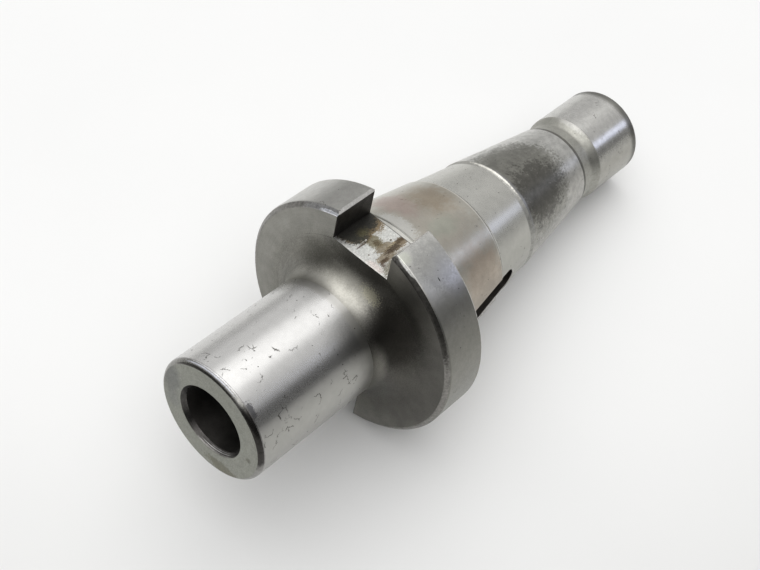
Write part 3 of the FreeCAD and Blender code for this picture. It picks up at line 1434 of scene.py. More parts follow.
FINISHES: dict[Zone, Steel] = {
    # Ground taper bore, painted dark grey as the shade inside the hole: the mouth reads as a black
    # hole.
    Zone.SOCKET: Steel(
        "ground_steel_socket_painted_shade", "52504d", 0.5, grain=0.5, brushed=0.3, cloudy=0.25,
    ),
    # Turned countersink: dark, with painted highlights as a few bright fine lines at the bottom of
    # the mouth.
    Zone.COUNTERSINK: Steel(
        "turned_steel_countersink", "504e4c", 0.32, grain=1, grain_mm=0.2, cloudy=0.25,
        cloud_mm=1.2, mottled=0.1,
        stains_and_light=(
            # Painted highlights: bright fine lines at the bottom of the mouth.
            StainOrLight((0.1, -2.8, -9.1), (0.28, 6, 3.8), "94928f", 0.3, 0.9, 0.5, ragged=0.35,
                  lumps=(0.3, 2, 2), broken=0.5, speck_mm=0.4),
            StainOrLight((0.62, -3.4, -8.9), (0.08, 5, 3.2), "c0bfbd", 0.3, 0.9, 0.6, ragged=0.3,
                  lumps=(0.3, 2, 2)),
            StainOrLight((0.95, -4.2, -8.6), (0.08, 4.2, 3), "959492", 0.3, 0.8, 0.6, ragged=0.3,
                  lumps=(0.3, 2, 2)),
        ),
    ),
    # Turned end face under a thin film: matt grey-green, smudged by fingers and specked brown
    # at the bottom.
    Zone.NOSE_FACE: Steel(
        "turned_steel_nose_face", "979890", 0.5, grain=0.35, grain_mm=0.3, brushed=0.2,
        cloud_mm=1.4,
        stains_and_light=(
            StainOrLight((0, 12.6, 3.6), (3, 2.6, 4.5), "66676a", 0.5, 0.5, 0.9, ragged=0.5, broken=0.5,
                  speck_mm=0.5),
            StainOrLight((0, 11.6, -3), (3, 2, 2.5), "77787a", 0.5, 0.35, 1, ragged=0.5, broken=0.5,
                  speck_mm=0.5),
            StainOrLight((0, -6, -12.6), (3, 5.5, 1.7), "6a6654", 0.5, 0.6, 0.5, ragged=0.6,
                  lumps=(1.2, 1.2, 1.2), broken=0.9, speck_mm=0.5),
            StainOrLight((0, -12.3, -1.5), (3, 0.7, 0.7), "5b584c", 0.5, 0.6, 0.8, ragged=0.5,
                  lumps=(1, 1, 1)),
        ),
    ),
    # Front edge worn round: dark, with painted shade that blackens it on the side towards -y and
    # painted highlights as bright streaks at the top.
    Zone.NOSE_EDGE: Steel(
        "worn_steel_nose_edge_painted_glint_and_shade", "8b8a86", 0.28, grain=0.4, brushed=0.3, cloudy=0.2, cloud_mm=1,
        mottled=0.08,
        stains_and_light=(
            StainOrLight((0.15, 5, 14.5), (0.2, 12, 5), "3f3d3b", 0.3, 0.85, 0.4, ragged=0.3,
                  lumps=(0.5, 2, 2)),
            # Painted shade: the edge black on the side towards -y.
            StainOrLight((0.7, -13.5, 7.5), (AROUND, 7.5, 8.6), "3a3836", 0.26, 0.95, 0.4, ragged=0.15,
                  lumps=(1, 2, 2), broken=0.2, speck_mm=0.3),
            StainOrLight.ring(1.45, 0.3, "9c9a98", 0.32, 0.8, 0.6, ragged=0.3, lumps=(0.5, 1.5, 1.5)),
            # Painted highlights: two bright streaks at the top, half metallic so that they show as
            # light.
            StainOrLight((0.7, 4, 15.3), (0.16, 9.5, 3), "c3c5ce", 0.3, 0.85, 0.5, ragged=0.5,
                  lumps=(0.3, 2, 2), broken=0.6, speck_mm=0.3, metallic=0.5),
            StainOrLight((1.15, 2, 15.6), (0.14, 8, 3), "c9c9cb", 0.3, 0.8, 0.5, ragged=0.5,
                  lumps=(0.3, 2, 2), broken=0.6, speck_mm=0.3, metallic=0.6),
        ),
    ),
    # Cylindrically ground nose: clear soft reflections, marred by clusters of jagged dark
    # scratches, with painted shade near the fillet and on its lower side towards -y.
    Zone.NOSE: Steel(
        "ground_steel_nose", "c8c7c5", 0.27, cloudy=0.04, cloud_mm=2, mottled=0.012, pits=0.35,
        scratches=(
            Scratches(
                radius=15.9, spared=0.66, cell_mm=2.4, width_mm=0.2, jagged_mm=0.6, cluster_mm=5,
                seed=0, strength=0.85,
                places=(
                    (11.3, 1.9, 1.7), (15, -11.5, 1.3), (9, -53.5, 2.3), (9.3, -68, 1.8),
                    (3.6, -63.6, 1.6), (4, 23.8, 2), (2.9, -0.5, 1.4), (30.3, -74, 1.2),
                    (7.9, -19.8, 1.3),
                ),
            ),
            Scratches(radius=15.9, spared=0.62, cell_mm=3.6, width_mm=0.18, jagged_mm=0.8,
                      cluster_mm=3, seed=41, strength=0.6),
        ),
        stains_and_light=(
            # Painted shade: darker towards the fillet on the side away from the light.
            StainOrLight((38, -10.5, 12), (9.5, 6.5, 6.5), "504f4c", 0.35, 0.7, 1.2, ragged=0.15,
                  lumps=(3, 3, 3), broken=0.3, speck_mm=0.3),
            StainOrLight((1.9, -9.6, 12.6), (0.8, 2.3, 2.3), "4d4c4e", 0.4, 0.8, 0.4, ragged=0.6,
                  lumps=(0.6, 1, 1), broken=1),
            StainOrLight.ring(36, 1.6, "a5a39d", 0.3, 0.6, 1, ragged=0.3, lumps=(1, 2, 2)),
            # Painted shade: darker on the lower side towards -y.
            StainOrLight((18, -19, -4), (AROUND, 12, 15.5), "a7a6a1", 0.3, 0.9, 0.6),
        ),
    ),
    # Turned fillet the grinding wheel didn't reach: bright at the nose, then speckled, with a
    # darker ring and painted shade black on the side away from the light, a painted highlight at
    # its top and a painted reflection under the nose on the side towards -y.
    Zone.FILLET: Steel(
        "turned_steel_fillet", "8b8a84", 0.38, grain=1.6, grain_mm=0.5, brushed=0.4, cloudy=0.12,
        mottled=0.08,
        stains_and_light=(
            StainOrLight.ring(36.5, 4.4, "a4a29b", 0.34, 1, 0.7),
            *FOOT_DARKENING_AND_SHADE,
            # Painted highlight at the top of the fillet.
            StainOrLight((40.3, -1, 17), (3, 8, 3.4), "aeaca3", 0.38, 0.4, 1, ragged=0.3,
                  lumps=(1.5, 3, 1.5), broken=0.5, speck_mm=0.3),
            # Painted reflection: lighter under the nose on the side towards -y.
            StainOrLight((37.6, -15.6, 1), (2.4, 6, 7), "94928a", 0.38, 0.5, 1, ragged=0.2,
                  lumps=(1.5, 3, 3)),
            StainOrLight((42.2, -6.5, 17), (1, 2.6, 2.2), "b0ac94", 0.42, 0.4, 0.4, broken=2.2,
                  speck_mm=0.3),
            StainOrLight((44.3, -1, 21.3), (2, 10, 2.8), "34322e", 0.42, 0.65, 1, ragged=0.3,
                  lumps=(1.5, 3, 1.5), broken=0.6, speck_mm=0.3),
            StainOrLight((42.6, 10.5, 16.5), (1.8, 7, 5), "44433d", 0.42, 0.35, 1.2, ragged=0.6,
                  lumps=(1.2, 3.5, 1.2), broken=0.9, speck_mm=0.4),
        ),
    ),
    # Turned front face of the flange: dull grey with a green cast, with painted shade that blackens
    # the side away from the light.
    Zone.FLANGE_FACE: Steel(
        "turned_steel_flange_face", "8b8a84", 0.38, grain=0.7, grain_mm=0.35, brushed=0.4,
        cloudy=0.12,
        stains_and_light=FOOT_DARKENING_AND_SHADE,
    ),
    # Broken edges of the flange: worn grey with bright rubbed stretches, painted highlights at the
    # lugs' front edges, and painted shade that blackens the side towards -y.
    Zone.RIM_BREAK: Steel(
        "worn_steel_rim_break_painted_light_and_shade", "868480", 0.4, grain=0.4, brushed=0.3, cloudy=0.3, cloud_mm=0.9,
        stains_and_light=(
            StainOrLight((44.75, 12, 28.5), (0.9, 8, 5), "a5a5a6", 0.4, 0.7, 0.5, ragged=0.5,
                  lumps=(0.5, 1, 1), broken=1),
            # Painted highlight: bluish-white streak on the left lug's front edge.
            StainOrLight((44.6, 10.4, 29.4), (0.25, 3.6, 3.4), "f0f2fa", 0.3, 0.9, 0.5, ragged=0.4,
                  lumps=(0.5, 1, 1), broken=0.5, speck_mm=0.3),
            # Painted shade: black on the side towards -y.
            StainOrLight((44.7, -20, 22), (0.75, 14, 14), "34322f", 0.4, 0.8, 0.4, ragged=0.3,
                  lumps=(0.8, 2, 2), broken=0.3, speck_mm=0.5),
            # Worn front corner of the right lug, painted near white as a highlight.
            StainOrLight((45.35, -12.3, 29.2), (0.4, 2.8, 2.4), "f0f0ec", 0.28, 0.95, 0.4, ragged=0.3,
                  lumps=(0.6, 1, 1)),
            StainOrLight.ring(57, 1, "c9c8c4", 0.36, 0.85, 0.4, ragged=0.2, lumps=(0.6, 1.5, 1.5)),
        ),
    ),
    # Ground rim of the flange: satin grey with a few nicks, painted shade below and on the side
    # towards -y, painted light on the side towards y, and painted highlights on the right lug.
    Zone.RIM: Steel(
        "ground_steel_flange_rim", "b3b2ae", 0.34, brushed=0.45, cloudy=0.08, cloud_mm=1.5,
        mottled=0.05, pits=0.3,
        scratches=(
            Scratches(radius=31.75, spared=0.66, cell_mm=3, width_mm=0.12, jagged_mm=0.7,
                      cluster_mm=5, seed=3, strength=0.6),
        ),
        stains_and_light=(
            # Painted shade: darker below and on the side towards -y.
            StainOrLight((50.8, -31, -4), (AROUND, 12, 24.5), "7d7c75", 0.36, 0.9, 0.7),
            StainOrLight((50.8, -25.5, 17), (AROUND, 6.5, 7), "7b7a74", 0.36, 0.5, 1),
            # Painted light: lighter on the side towards y.
            StainOrLight((50.8, 27.5, 15), (AROUND, 12, 12), "cbcac6", 0.36, 0.7, 1),
            StainOrLight((50.8, 9, 30.5), (AROUND, 9, 6), "969591", 0.36, 0.8, 1),
            # Painted highlight: soft bluish patch on the right lug near its rear edge.
            StainOrLight((54.5, -18.3, 26), (3, 4.5, 4.5), "d0d2e2", 0.3, 0.35, 1.6),
            StainOrLight((52, -15, 28), (5, 6, 5), "8c8c8a", 0.38, 0.5, 0.9, ragged=0.8, lumps=(2, 2, 2),
                  broken=0.8, speck_mm=0.5),
            # Painted light on the right lug's front corner.
            StainOrLight((46.4, -10.4, 30), (1.5, 1.6, 1.6), "c8cbbd", 0.4, 0.5, 0.9),
            StainOrLight((50.7, -17.8, 26.3), (0.16, 0.5, 0.6), "2c2a28", 0.6, 0.9, 0.5),
        ),
    ),
    # Turned rear face of the flange: fine rings, duller than the ground surfaces.
    Zone.FLANGE_REAR: Steel("turned_steel_flange_rear", "aaa8a2", 0.42, grain=0.7, brushed=0.4),
    # Ground taper under a thin patina: grey with tan and pink tints, rubbed bare behind the drive
    # slot, with painted light on the side towards y and painted shade below on the side towards -y.
    Zone.FRONT_LAND: Steel(
        "patinated_ground_steel_taper", "b5b4ac", 0.3, cloudy=0.07, mottled=0.05, pits=0.3,
        scratches=(
            Scratches(radius=20, spared=0.66, cell_mm=2.6, width_mm=0.12, jagged_mm=0.9,
                      cluster_mm=6, seed=5, strength=0.5),
        ),
        stains_and_light=(
            StainOrLight((70, 0, 20), (11, 16, 12), "aca295", 0.33, 0.5, 0.9, ragged=0.9, lumps=(4, 3, 3),
                  broken=0.5, speck_mm=0.8, streak=2),
            # Painted light: lighter on the side towards y.
            StainOrLight((70, 19, 9), (AROUND, 9, 12), "d2d1cb", 0.32, 0.6, 1),
            StainOrLight((66.5, 8, 19.3), (4, 7, 5), "b09c95", 0.36, 0.6, 0.9, ragged=0.8,
                  lumps=(3.5, 2.5, 2.5), broken=0.4, speck_mm=0.7),
            StainOrLight((75, 4, 19.3), (5.5, 5.5, 5), "94836c", 0.36, 0.55, 1.3, ragged=0.8,
                  lumps=(3, 2, 2), broken=0.5, speck_mm=0.7),
            StainOrLight((69.5, -4.5, 20.2), (5, 2.5, 5), "a3a69a", 0.32, 0.6, 0.9, ragged=0.8,
                  lumps=(3, 2, 2), broken=0.3, speck_mm=0.7),
            StainOrLight((74, -17.5, 9), (8.5, 6, 9), "b3a292", 0.36, 0.7, 0.9, ragged=0.6,
                  lumps=(3.5, 3.5, 3.5), broken=0.4, speck_mm=0.8),
            StainOrLight((59.2, 1.2, 22), (3.4, 6, 5), "c0bfba", 0.4, 0.9, 0.2, ragged=0.6,
                  lumps=(1.8, 0.9, 1), broken=0.7, streak=1.5),
            StainOrLight.ring(57.95, 0.75, "b7b6b0", 0.4, 0.9, 0.2),
            StainOrLight.ring(58.85, 0.14, "74726d", 0.5, 0.6, 0.5),
            StainOrLight.ring(57.3, 0.18, "4d4b48", 0.5, 0.8, 0.5),
            StainOrLight.ring(81.4, 0.22, "d4d1ca", 0.35, 0.8, 0.5),
            # Painted shade: darker on the lower side towards -y.
            StainOrLight((70, -24, -6), (AROUND, 14, 18), "958d82", 0.34, 0.85, 0.8, ragged=0.5,
                  lumps=(4, 3, 3)),
        ),
    ),
    # Turned relief between the lands: clean and pale, with a dark line where the land drops to it,
    # and painted shade on its lower side towards -y.
    Zone.RELIEF: Steel(
        "turned_steel_relief", "c2c1bb", 0.28, cloudy=0.05, cloud_mm=2, mottled=0.018, pits=0.7,
        scratches=(
            Scratches(radius=18, spared=0.67, cell_mm=2.2, width_mm=0.12, jagged_mm=0.9,
                      cluster_mm=5, seed=9, strength=0.5),
        ),
        stains_and_light=(
            # Painted shade: darker on the lower side towards -y.
            StainOrLight((90, -21, -5), (AROUND, 13, 16), "9d9c95", 0.32, 0.85, 0.7),
            StainOrLight.ring(81.75, 0.2, "5f5d59", 0.5, 0.7, 0.6),
        ),
    ),
    # Ramp at the relief's rear end: dull, with a ragged whitish painted highlight along its top.
    Zone.REAR_RAMP: Steel(
        "rough_turned_steel_ramp", "a8a7a2", 0.52, brushed=0, cloudy=0.15, cloud_mm=1, mottled=0.1,
        stains_and_light=(
            # Painted highlight: ragged whitish line along the top.
            StainOrLight((97.75, 0.5, 16), (0.3, 7.5, 9), "dedcd4", 0.5, 1, 0.6, ragged=0.6,
                  lumps=(1.5, 0.8, 0.8), broken=0.6, speck_mm=0.4),
        ),
    ),
    # Ground taper stained dark where the spindle kept it damp: mottled, breaking up into specks at
    # its rear, with painted light on the side towards y and painted shade on the side towards -y.
    Zone.REAR_LAND: Steel(
        "stained_ground_steel_taper", "bab9b5", 0.32, brushed=0.4, cloudy=0.18, cloud_mm=1.8,
        pits=0.5,
        scratches=(
            Scratches(radius=14.5, spared=0.64, cell_mm=2.2, width_mm=0.16, jagged_mm=0.9,
                      cluster_mm=3.5, seed=12, strength=0.6),
        ),
        stains_and_light=(
            # Painted light: lighter on the side towards y. Painted shade: darker on the side
            # towards -y.
            StainOrLight((115, 13, 7), (AROUND, 7, 9), "cfceca", 0.34, 0.6, 1),
            StainOrLight((115, -15, 3), (AROUND, 8, 11), "a19f9a", 0.34, 0.7, 0.8),
            StainOrLight((105, -6.5, 12), (15, 15, 14), "8f8e88", 0.36, 0.85, 0.15, ragged=0.35,
                  lumps=(4, 3, 3), broken=0.45, speck_mm=0.5, streak=1.5),
            StainOrLight((103.4, -4.2, 13.2), (14, 12.6, 12), "74736c", 0.35, 0.75, 0.4, ragged=0.5,
                  lumps=(4.5, 3, 3), broken=0.5, speck_mm=0.6, streak=1.5),
            StainOrLight((106.5, -8.5, 12), (9.5, 7.5, 8), "4d4b47", 0.34, 0.65, 0.4, ragged=0.8,
                  lumps=(3, 2, 2), broken=1, speck_mm=0.6, streak=1.3),
            StainOrLight((98.4, -8, 12), (0.5, 11, 9), "9a9a9c", 0.36, 0.6, 0.9, ragged=0.5,
                  lumps=(0.8, 1.5, 1.5)),
            StainOrLight.ring(126.95, 0.28, "4f4d49", 0.5, 0.85, 0.6, ragged=0.3, lumps=(0.6, 2, 2)),
        ),
    ),
    # Turned neck: dull grey-green, with a whitish painted highlight at the top where it flares to
    # the pilot.
    Zone.NECK: Steel(
        "turned_steel_neck", "a3a29b", 0.46, grain=0.3, brushed=0.3, cloud_mm=1.5, mottled=0.08,
        pits=0.3,
        stains_and_light=(
            # Painted highlight: whitish patch at the top of the flare.
            StainOrLight((133.7, 1, 13), (0.9, 4.5, 4), "bfbeba", 0.5, 0.7, 0.5, ragged=0.6,
                  lumps=(0.8, 1, 1), broken=1.2, speck_mm=0.3),
            StainOrLight.ring(127.4, 0.35, "5c5a55", 0.5, 0.8, 0.6),
        ),
    ),
    # Ground pilot: clear window reflection, a few ticks and specks, and painted shade on its lower
    # side towards -y.
    Zone.PILOT: Steel(
        "ground_steel_pilot", "c3c2be", 0.25, cloudy=0.08, cloud_mm=1.5, mottled=0.025, pits=0.5,
        scratches=(
            Scratches(
                radius=12.5, spared=0.62, cell_mm=1.6, width_mm=0.13, jagged_mm=0.6, cluster_mm=4,
                seed=5, strength=0.8,
                places=((142, -5, 1.2), (146.5, 4, 1)),
            ),
        ),
        stains_and_light=(
            # Painted shade: darker on the lower side towards -y.
            StainOrLight((142.5, -14, -6), (AROUND, 9.5, 14.5), "9c9a93", 0.3, 0.9, 0.6),
            StainOrLight.ring(151.8, 2, "6a6964", 0.38, 0.9, 1, ragged=0.3, lumps=(0.8, 2, 2)),
        ),
    ),
    # Rounded end of the pilot: darkened, so that the end is drawn with a thin line.
    Zone.PILOT_EDGE: Steel(
        "worn_steel_pilot_edge", "72716c", 0.4, grain=0.4, cloudy=0.25, cloud_mm=2,
    ),
    # Turned end face round the drawbar's hole: fine rings.
    Zone.END_FACE: Steel("turned_steel_end_face", "a8a7a0", 0.42, grain=0.8, grain_mm=0.35),
    # Tapped thread with old oil dried in its grooves.
    Zone.THREAD: Steel("tapped_steel_thread", "8b8882", 0.4, brushed=0, cloudy=0.2),
    # Milled floor of the drive slot: pale bare metal under a dark film and streaks of brown rust.
    Zone.SLOT_FLOOR: Steel(
        "milled_steel_slot_floor", "c2c2be", 0.5, brushed=0, cloudy=0.14, cloud_mm=0.9,
        mottled=0.16, pits=0.4,
        stains_and_light=(
            StainOrLight.on_slot_floor(52.4, -7.4, 7.3, 3, "7c7768", 0.5, 0.85, 0.3, ragged=0.35,
                                lumps=(1.6, 0.7, 2), broken=0.5, speck_mm=0.3, streak=2),
            StainOrLight.on_slot_floor(50.9, 1.3, 1.9, 2.3, "777058", 0.6, 0.9, 0.25, ragged=0.6,
                                lumps=(1, 0.6, 2), broken=0.7, speck_mm=0.2, streak=3,
                                metallic=0.4),
            StainOrLight.on_slot_floor(51.2, -1.4, 2.6, 1.2, "776b53", 0.6, 0.85, 0.25, ragged=0.8,
                                lumps=(1.2, 0.5, 2), broken=0.8, speck_mm=0.2, streak=4,
                                metallic=0.4),
            StainOrLight.on_slot_floor(54.6, -2.8, 3.9, 1.2, "7a6a50", 0.6, 0.9, 0.25, ragged=0.8,
                                lumps=(1.6, 0.4, 2), broken=0.9, speck_mm=0.2, streak=5,
                                metallic=0.4),
            StainOrLight.on_slot_floor(49.6, -3.6, 3.2, 1.2, "7d7059", 0.6, 0.85, 0.25, ragged=0.8,
                                lumps=(1.4, 0.4, 2), broken=0.9, speck_mm=0.2, streak=5,
                                metallic=0.4),
            StainOrLight.on_slot_floor(53.4, -2.4, 2.4, 0.7, "a69a80", 0.6, 0.8, 0.3, broken=2.2,
                                speck_mm=0.2, streak=6, metallic=0.4),
            StainOrLight.on_slot_floor(52.6, -2.9, 2.6, 0.8, "44372a", 0.6, 0.9, 0.3, broken=2.2,
                                speck_mm=0.16, streak=12, metallic=0.5),
            StainOrLight.on_slot_floor(56, -2.2, 1.6, 0.6, "4c3d2b", 0.6, 0.9, 0.3, broken=1.8,
                                speck_mm=0.16, streak=10, metallic=0.5),
            StainOrLight.on_slot_floor(51, 0.6, 0.9, 0.9, "54462f", 0.6, 0.8, 0.3, broken=2.2,
                                speck_mm=0.16, streak=8, metallic=0.5),
            StainOrLight.on_slot_floor(48.4, -4.2, 1.4, 0.5, "50402f", 0.6, 0.9, 0.3, broken=2,
                                speck_mm=0.16, streak=9, metallic=0.5),
            StainOrLight.on_slot_floor(45.2, -4, 1, 2.3, "cbc3be", 0.5, 0.9, 0.3, ragged=0.6,
                                lumps=(0.8, 0.8, 2), broken=0.9, speck_mm=0.3),
            StainOrLight.on_slot_floor(47, -4.9, 0.6, 0.7, "5b4a3c", 0.6, 0.8, 0.3, broken=2, speck_mm=0.2,
                                streak=2, metallic=0.5),
            StainOrLight.on_slot_floor(47.6, 2.4, 1.7, 0.22, "5c4b47", 0.5, 0.85, 0.4, ragged=0.3,
                                lumps=(1.5, 0.6, 2), broken=0.5, speck_mm=0.2, streak=4,
                                metallic=0.5),
            StainOrLight.on_slot_floor(46.8, -0.7, 0.22, 0.2, "5c4d40", 0.5, 0.9, 0.5, ragged=0.3,
                                lumps=(0.3, 0.3, 1)),
            StainOrLight.on_slot_floor(54.3, -0.8, 0.35, 0.22, "4e4236", 0.5, 0.9, 0.5, ragged=0.3,
                                lumps=(0.3, 0.3, 1)),
            StainOrLight.on_slot_floor(50, 7.6, 4.5, 5.2, "706044", 0.6, 0.9, 0.2, ragged=0.5,
                                lumps=(1.2, 0.7, 2), broken=0.5, speck_mm=0.25, streak=2,
                                metallic=0.5),
            StainOrLight.on_slot_floor(54.4, 8.8, 5, 6.1, "75613f", 0.6, 0.9, 0.2, ragged=0.5,
                                lumps=(1.2, 0.7, 2), broken=0.5, speck_mm=0.25, streak=2,
                                metallic=0.5),
            StainOrLight.on_slot_floor(49.3, 7.6, 3.9, 5, "36352d", 0.5, 1, 0.3, ragged=0.45,
                                lumps=(1.2, 0.7, 2), broken=0.5, speck_mm=0.22, streak=1.5),
            StainOrLight.on_slot_floor(53.4, 9, 4.6, 5, "36352d", 0.5, 1, 0.3, ragged=0.45,
                                lumps=(1.2, 0.7, 2), broken=0.5, speck_mm=0.22, streak=1.5),
            StainOrLight.on_slot_floor(51, 5.2, 1.6, 1.2, "66603f", 0.6, 0.6, 0.3, broken=2.2,
                                speck_mm=0.25, streak=3, metallic=0.5),
            StainOrLight.on_slot_floor(51.5, 9.2, 8, 4, "1a1917", 0.5, 0.85, 1, ragged=0.2,
                                lumps=(1.2, 0.7, 2), broken=0.3, speck_mm=0.25),
            StainOrLight.on_slot_floor(44.62, 0, 0.14, 9, "d6d5d1", 0.4, 0.6, 0.5, ragged=0.9,
                                lumps=(0.6, 0.8, 2)),
            StainOrLight.on_slot_floor(57.05, 0, 0.14, 9, "55534e", 0.5, 0.8, 0.5),
            StainOrLight.on_slot_floor(49.8, 2.9, 0.19, 0.15, "e4dfd8", 0.4, 0.9, 0.4),
        ),
    ),
    # Milled wall of a slot: black with scale and oil.
    Zone.SLOT_WALL: Steel(
        "milled_steel_slot_wall", "43413f", 0.5, brushed=0, cloudy=0.3, cloud_mm=1.5,
    ),
    # Filed edge of a slot: a pale line along the lug, with small nicks, and painted light on the
    # left lug's edge of the upper slot.
    Zone.SLOT_BREAK: Steel(
        "filed_steel_slot_edge", "b9b7b3", 0.45, brushed=0, cloudy=0.2, cloud_mm=0.8, mottled=0.1,
        pits=0.8,
        stains_and_light=(
            # Painted light: a pale, half matt strip on the left lug's edge of the upper slot.
            StainOrLight((50.8, 8.6, 29.6), (AROUND, 1, 2.5), "c3c1bd", 0.5, 0.9, 0.6, metallic=0.3),
        ),
    ),
    # Milled wall of the drift slot: brown-grey in the shadow.
    Zone.DRIFT_WALL: Steel(
        "milled_steel_drift_slot", "4c4945", 0.5, brushed=0, cloudy=0.2, cloud_mm=2,
    ),
    # Dent from a blow: clean bright metal.
    Zone.KNOCK: Steel("knocked_bright_steel", "dcdad6", 0.35, brushed=0, cloud_mm=1),
}


# The holder and its studio


class Holder:
    """The whole holder as one piece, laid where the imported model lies."""

    def __init__(self, record: dict) -> None:
        """Reads the holder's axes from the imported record.

        Args:
            record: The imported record.
        """
        mounts = {mount["name"]: mount for mount in record["mounts"]}
        axis = Vector(mounts["shank_taper"]["axis"]).normalized()
        side = Vector((0.0, 1.0, 0.0))
        up = axis.cross(side)
        nose = Vector(mounts["socket"]["pos_m"])
        self.laid = Matrix.Translation(nose) @ Matrix((axis, side, up)).transposed().to_4x4()

    def build(self) -> bpy.types.Object:
        """Builds the holder and joins it to the frame.

        Returns:
            The holder.
        """
        parts = HolderMesh()
        mesh = parts.cut()
        normals = parts.corner_normals(mesh)
        mesh.transform(Matrix.Scale(MM, 4))
        for face in mesh.polygons:
            face.use_smooth = True
        # Clearing the materials would set every face's zone to 0, so they are put back.
        marks = np.empty(len(mesh.polygons), dtype=np.int32)
        mesh.polygons.foreach_get("material_index", marks)
        mesh.materials.clear()
        for zone in Zone:
            mesh.materials.append(FINISHES[zone].material())
        mesh.polygons.foreach_set("material_index", marks)
        mesh.normals_split_custom_set(normals.tolist())
        mesh.update()
        holder = bpy.data.objects.new("tool_holder", mesh)
        bpy.context.scene.collection.objects.link(holder)
        holder.matrix_world = self.laid
        bpy.context.view_layer.update()
        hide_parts("holder_body")
        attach(holder, "root")
        return holder


@dataclass(frozen=True)
class Glow:
    """Soft bright or dark part of the studio's walls.

    Attributes:
        height: Angle above the horizon, in degrees.
        bearing: Angle about the vertical from +X towards +Y, in degrees.
        inner: Angle from its middle within which it is full.
        outer: Angle from its middle at which it has faded out.
        level: What it adds to the walls.
        colour: sRGB hex of its light.
    """

    height: float
    bearing: float
    inner: float
    outer: float
    level: float
    colour: str = "ffffff"


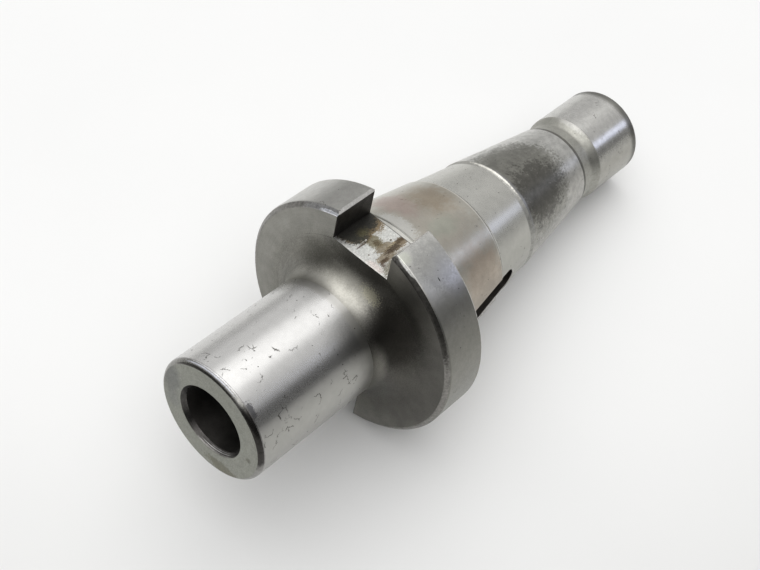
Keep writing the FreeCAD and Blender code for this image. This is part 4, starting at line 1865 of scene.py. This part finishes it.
@dataclass
class Studio:
    """Pale floor, soft light from above and behind, a window, and the camera.

    Attributes:
        wall_level: Brightness of the plain walls.
        darkest: Brightness below which no dark part takes them.
        glows: Bright and dark parts of the walls.
        floor_size: Side of the floor, in metres.
        floor_colour: sRGB hex of the floor near the holder.
        floor_far: sRGB hex of the floor away from it, of the walls' tone.
        floor_middle: Middle of the near part, in metres.
        floor_bright: Distance from it at which the floor starts to fade.
        floor_faded: Distance at which it has faded.
        focal_px: Focal length in pixels of the photograph.
        image_width: Width of the photograph in pixels.
        sensor_mm: Width of the camera's sensor.
        camera_place: Place of the camera, in millimetres in the holder's axes.
        camera_right: Direction of the image's right side in those axes.
        camera_down: Direction of its lower side.
        camera_ahead: Direction in which the camera looks.
    """

    wall_level: float = 0.235
    darkest: float = 0.04
    glows: tuple[Glow, ...] = (
        Glow(56, 23, 11, 29, 0.78),
        Glow(58, 80, 15, 36, 0.52),
        Glow(90, 0, 22, 52, 0.76),
        Glow(68, -118, 14, 38, 0.90),
        Glow(70, -50, 8, 26, 0.45),
        Glow(12, 40, 50, 95, 0.40),
        Glow(18, 53, 5, 15, 0.28),
        Glow(33, 42, 3, 11, 0.18),
        Glow(34, -42, 5, 18, 0.26),
        Glow(17, -31, 4, 8, 2.10, "d8e0ff"),
        Glow(2, -62, 16, 34, -0.13),
        Glow(8, -118, 28, 52, -0.13),
    )
    floor_size: float = 12.0
    floor_colour: str = "efefee"
    floor_far: str = "c0c0be"
    floor_middle: Triple = (0.05, 0.09, 0.0)
    floor_bright: float = 0.12
    floor_faded: float = 0.34
    focal_px: float = 1318.46
    image_width: float = 760.0
    sensor_mm: float = 36.0
    camera_place: Triple = (-126.54, -111.75, 241.81)
    camera_right: Triple = (0.6597226, -0.7339795, 0.1613695)
    camera_down: Triple = (-0.4886867, -0.5821218, -0.6498612)
    camera_ahead: Triple = (0.5709215, 0.3498689, -0.7427250)

    def build(self, laid: Matrix) -> list[bpy.types.ID]:
        """Builds the floor, the light and the camera.

        Args:
            laid: Matrix that lays the holder's own axes on the floor.

        Returns:
            What was built.
        """
        return [self._floor(), self._walls(), self._camera(laid)]

    def _floor(self) -> bpy.types.Object:
        """Pale matt floor under the holder.

        Returns:
            The floor.
        """
        half = self.floor_size / 2
        corners = [(-half, -half, 0), (half, -half, 0), (half, half, 0), (-half, half, 0)]
        mesh = bpy.data.meshes.new("floor")
        mesh.from_pydata(corners, [], [(0, 1, 2, 3)])
        floor = bpy.data.objects.new("floor", mesh)
        bpy.context.scene.collection.objects.link(floor)
        mesh.materials.append(self._paper())
        return floor

    def _paper(self) -> bpy.types.Material:
        """Matt white paper: nearly even, and of the walls' tone further away.

        Returns:
            The material.
        """
        material = bpy.data.materials.new("matt_white_paper")
        material.use_nodes = True
        material.node_tree.nodes.clear()
        add = partial(add_node, material.node_tree)
        place = add("TexCoord", {}, "Object")
        wander = add("TexNoise", {"Vector": place, "Scale": 9.0, "Detail": 3.0})
        shade = add("MapRange", {
            "Value": wander, "From Min": 0.3, "From Max": 0.7, "To Min": 0.97, "To Max": 1.0,
        })
        tone = add("CombineColor", {0: shade, 1: shade, 2: shade})
        gap = add("VectorMath", {0: place, 1: self.floor_middle}, "Value", operation="DISTANCE")
        away = add("MapRange", {
            "Value": gap, "From Min": self.floor_bright, "From Max": self.floor_faded,
        }, interpolation_type="SMOOTHSTEP")
        feeds = {0: 1.0, 6: linear(self.floor_colour), 7: tone}
        paper = add("Mix", feeds, 2, data_type="RGBA", blend_type="MULTIPLY")
        feeds = {0: away, 6: paper, 7: linear(self.floor_far)}
        colour = add("Mix", feeds, 2, data_type="RGBA")
        feeds = {"Base Color": colour, "Roughness": 0.9, "Specular IOR Level": 0.2}
        add("OutputMaterial", {"Surface": add("BsdfPrincipled", feeds)})
        return material

    def _walls(self) -> bpy.types.World:
        """Studio walls as soft light from all round.

        Returns:
            The world.
        """
        world = bpy.data.worlds.new("studio_walls")
        world.use_nodes = True
        world.node_tree.nodes.clear()
        add = partial(add_node, world.node_tree)
        way = add("TexCoord", {}, "Generated")
        light = (self.wall_level,) * 3
        for glow in self.glows:
            h, b = math.radians(glow.height), math.radians(glow.bearing)
            middle = (math.cos(h) * math.cos(b), math.cos(h) * math.sin(b), math.sin(h))
            near = add("VectorMath", {0: way, 1: middle}, "Value", operation="DOT_PRODUCT")
            part = add("MapRange", {
                "Value": near, "From Min": math.cos(math.radians(glow.outer)),
                "From Max": math.cos(math.radians(glow.inner)),
            }, interpolation_type="SMOOTHSTEP")
            tint = tuple(c * glow.level for c in linear(glow.colour)[:3])
            light = add("VectorMath", {0: part, 1: tint, 2: light}, operation="MULTIPLY_ADD")
        light = add("VectorMath", {0: light, 1: (self.darkest,) * 3}, operation="MAXIMUM")
        add("OutputWorld", {"Surface": add("Background", {"Color": light})})
        bpy.context.scene.world = world
        return world

    def _camera(self, laid: Matrix) -> bpy.types.Object:
        """Camera where the photograph was taken from.

        Args:
            laid: Matrix that lays the holder's own axes on the floor.

        Returns:
            The camera.
        """
        data = bpy.data.cameras.new("camera")
        data.sensor_fit = "HORIZONTAL"
        data.sensor_width = self.sensor_mm
        data.lens = self.sensor_mm * self.focal_px / self.image_width
        data.clip_start = 0.01
        data.clip_end = 20.0
        camera = bpy.data.objects.new("camera", data)
        bpy.context.scene.collection.objects.link(camera)
        turn = laid.to_3x3()
        axes = (Vector(self.camera_right), -Vector(self.camera_down), -Vector(self.camera_ahead))
        facing = Matrix([turn @ axis for axis in axes]).transposed().to_4x4()
        camera.matrix_world = Matrix.Translation(laid @ (Vector(self.camera_place) * MM)) @ facing
        bpy.context.scene.camera = camera
        return camera


def main() -> None:
    """Builds the holder and its studio, and logs what was built."""
    logging.basicConfig(level=logging.INFO, format="%(name)s: %(message)s")
    bpy.context.scene.view_settings.view_transform = "Standard"
    holder = Holder(frame["record"])
    piece = holder.build()
    LOG.info("%s: %d faces", piece.name, len(piece.data.polygons))
    for part in Studio().build(holder.laid):
        LOG.info("%s", part.name)


if __name__ == "__main__":
    main()
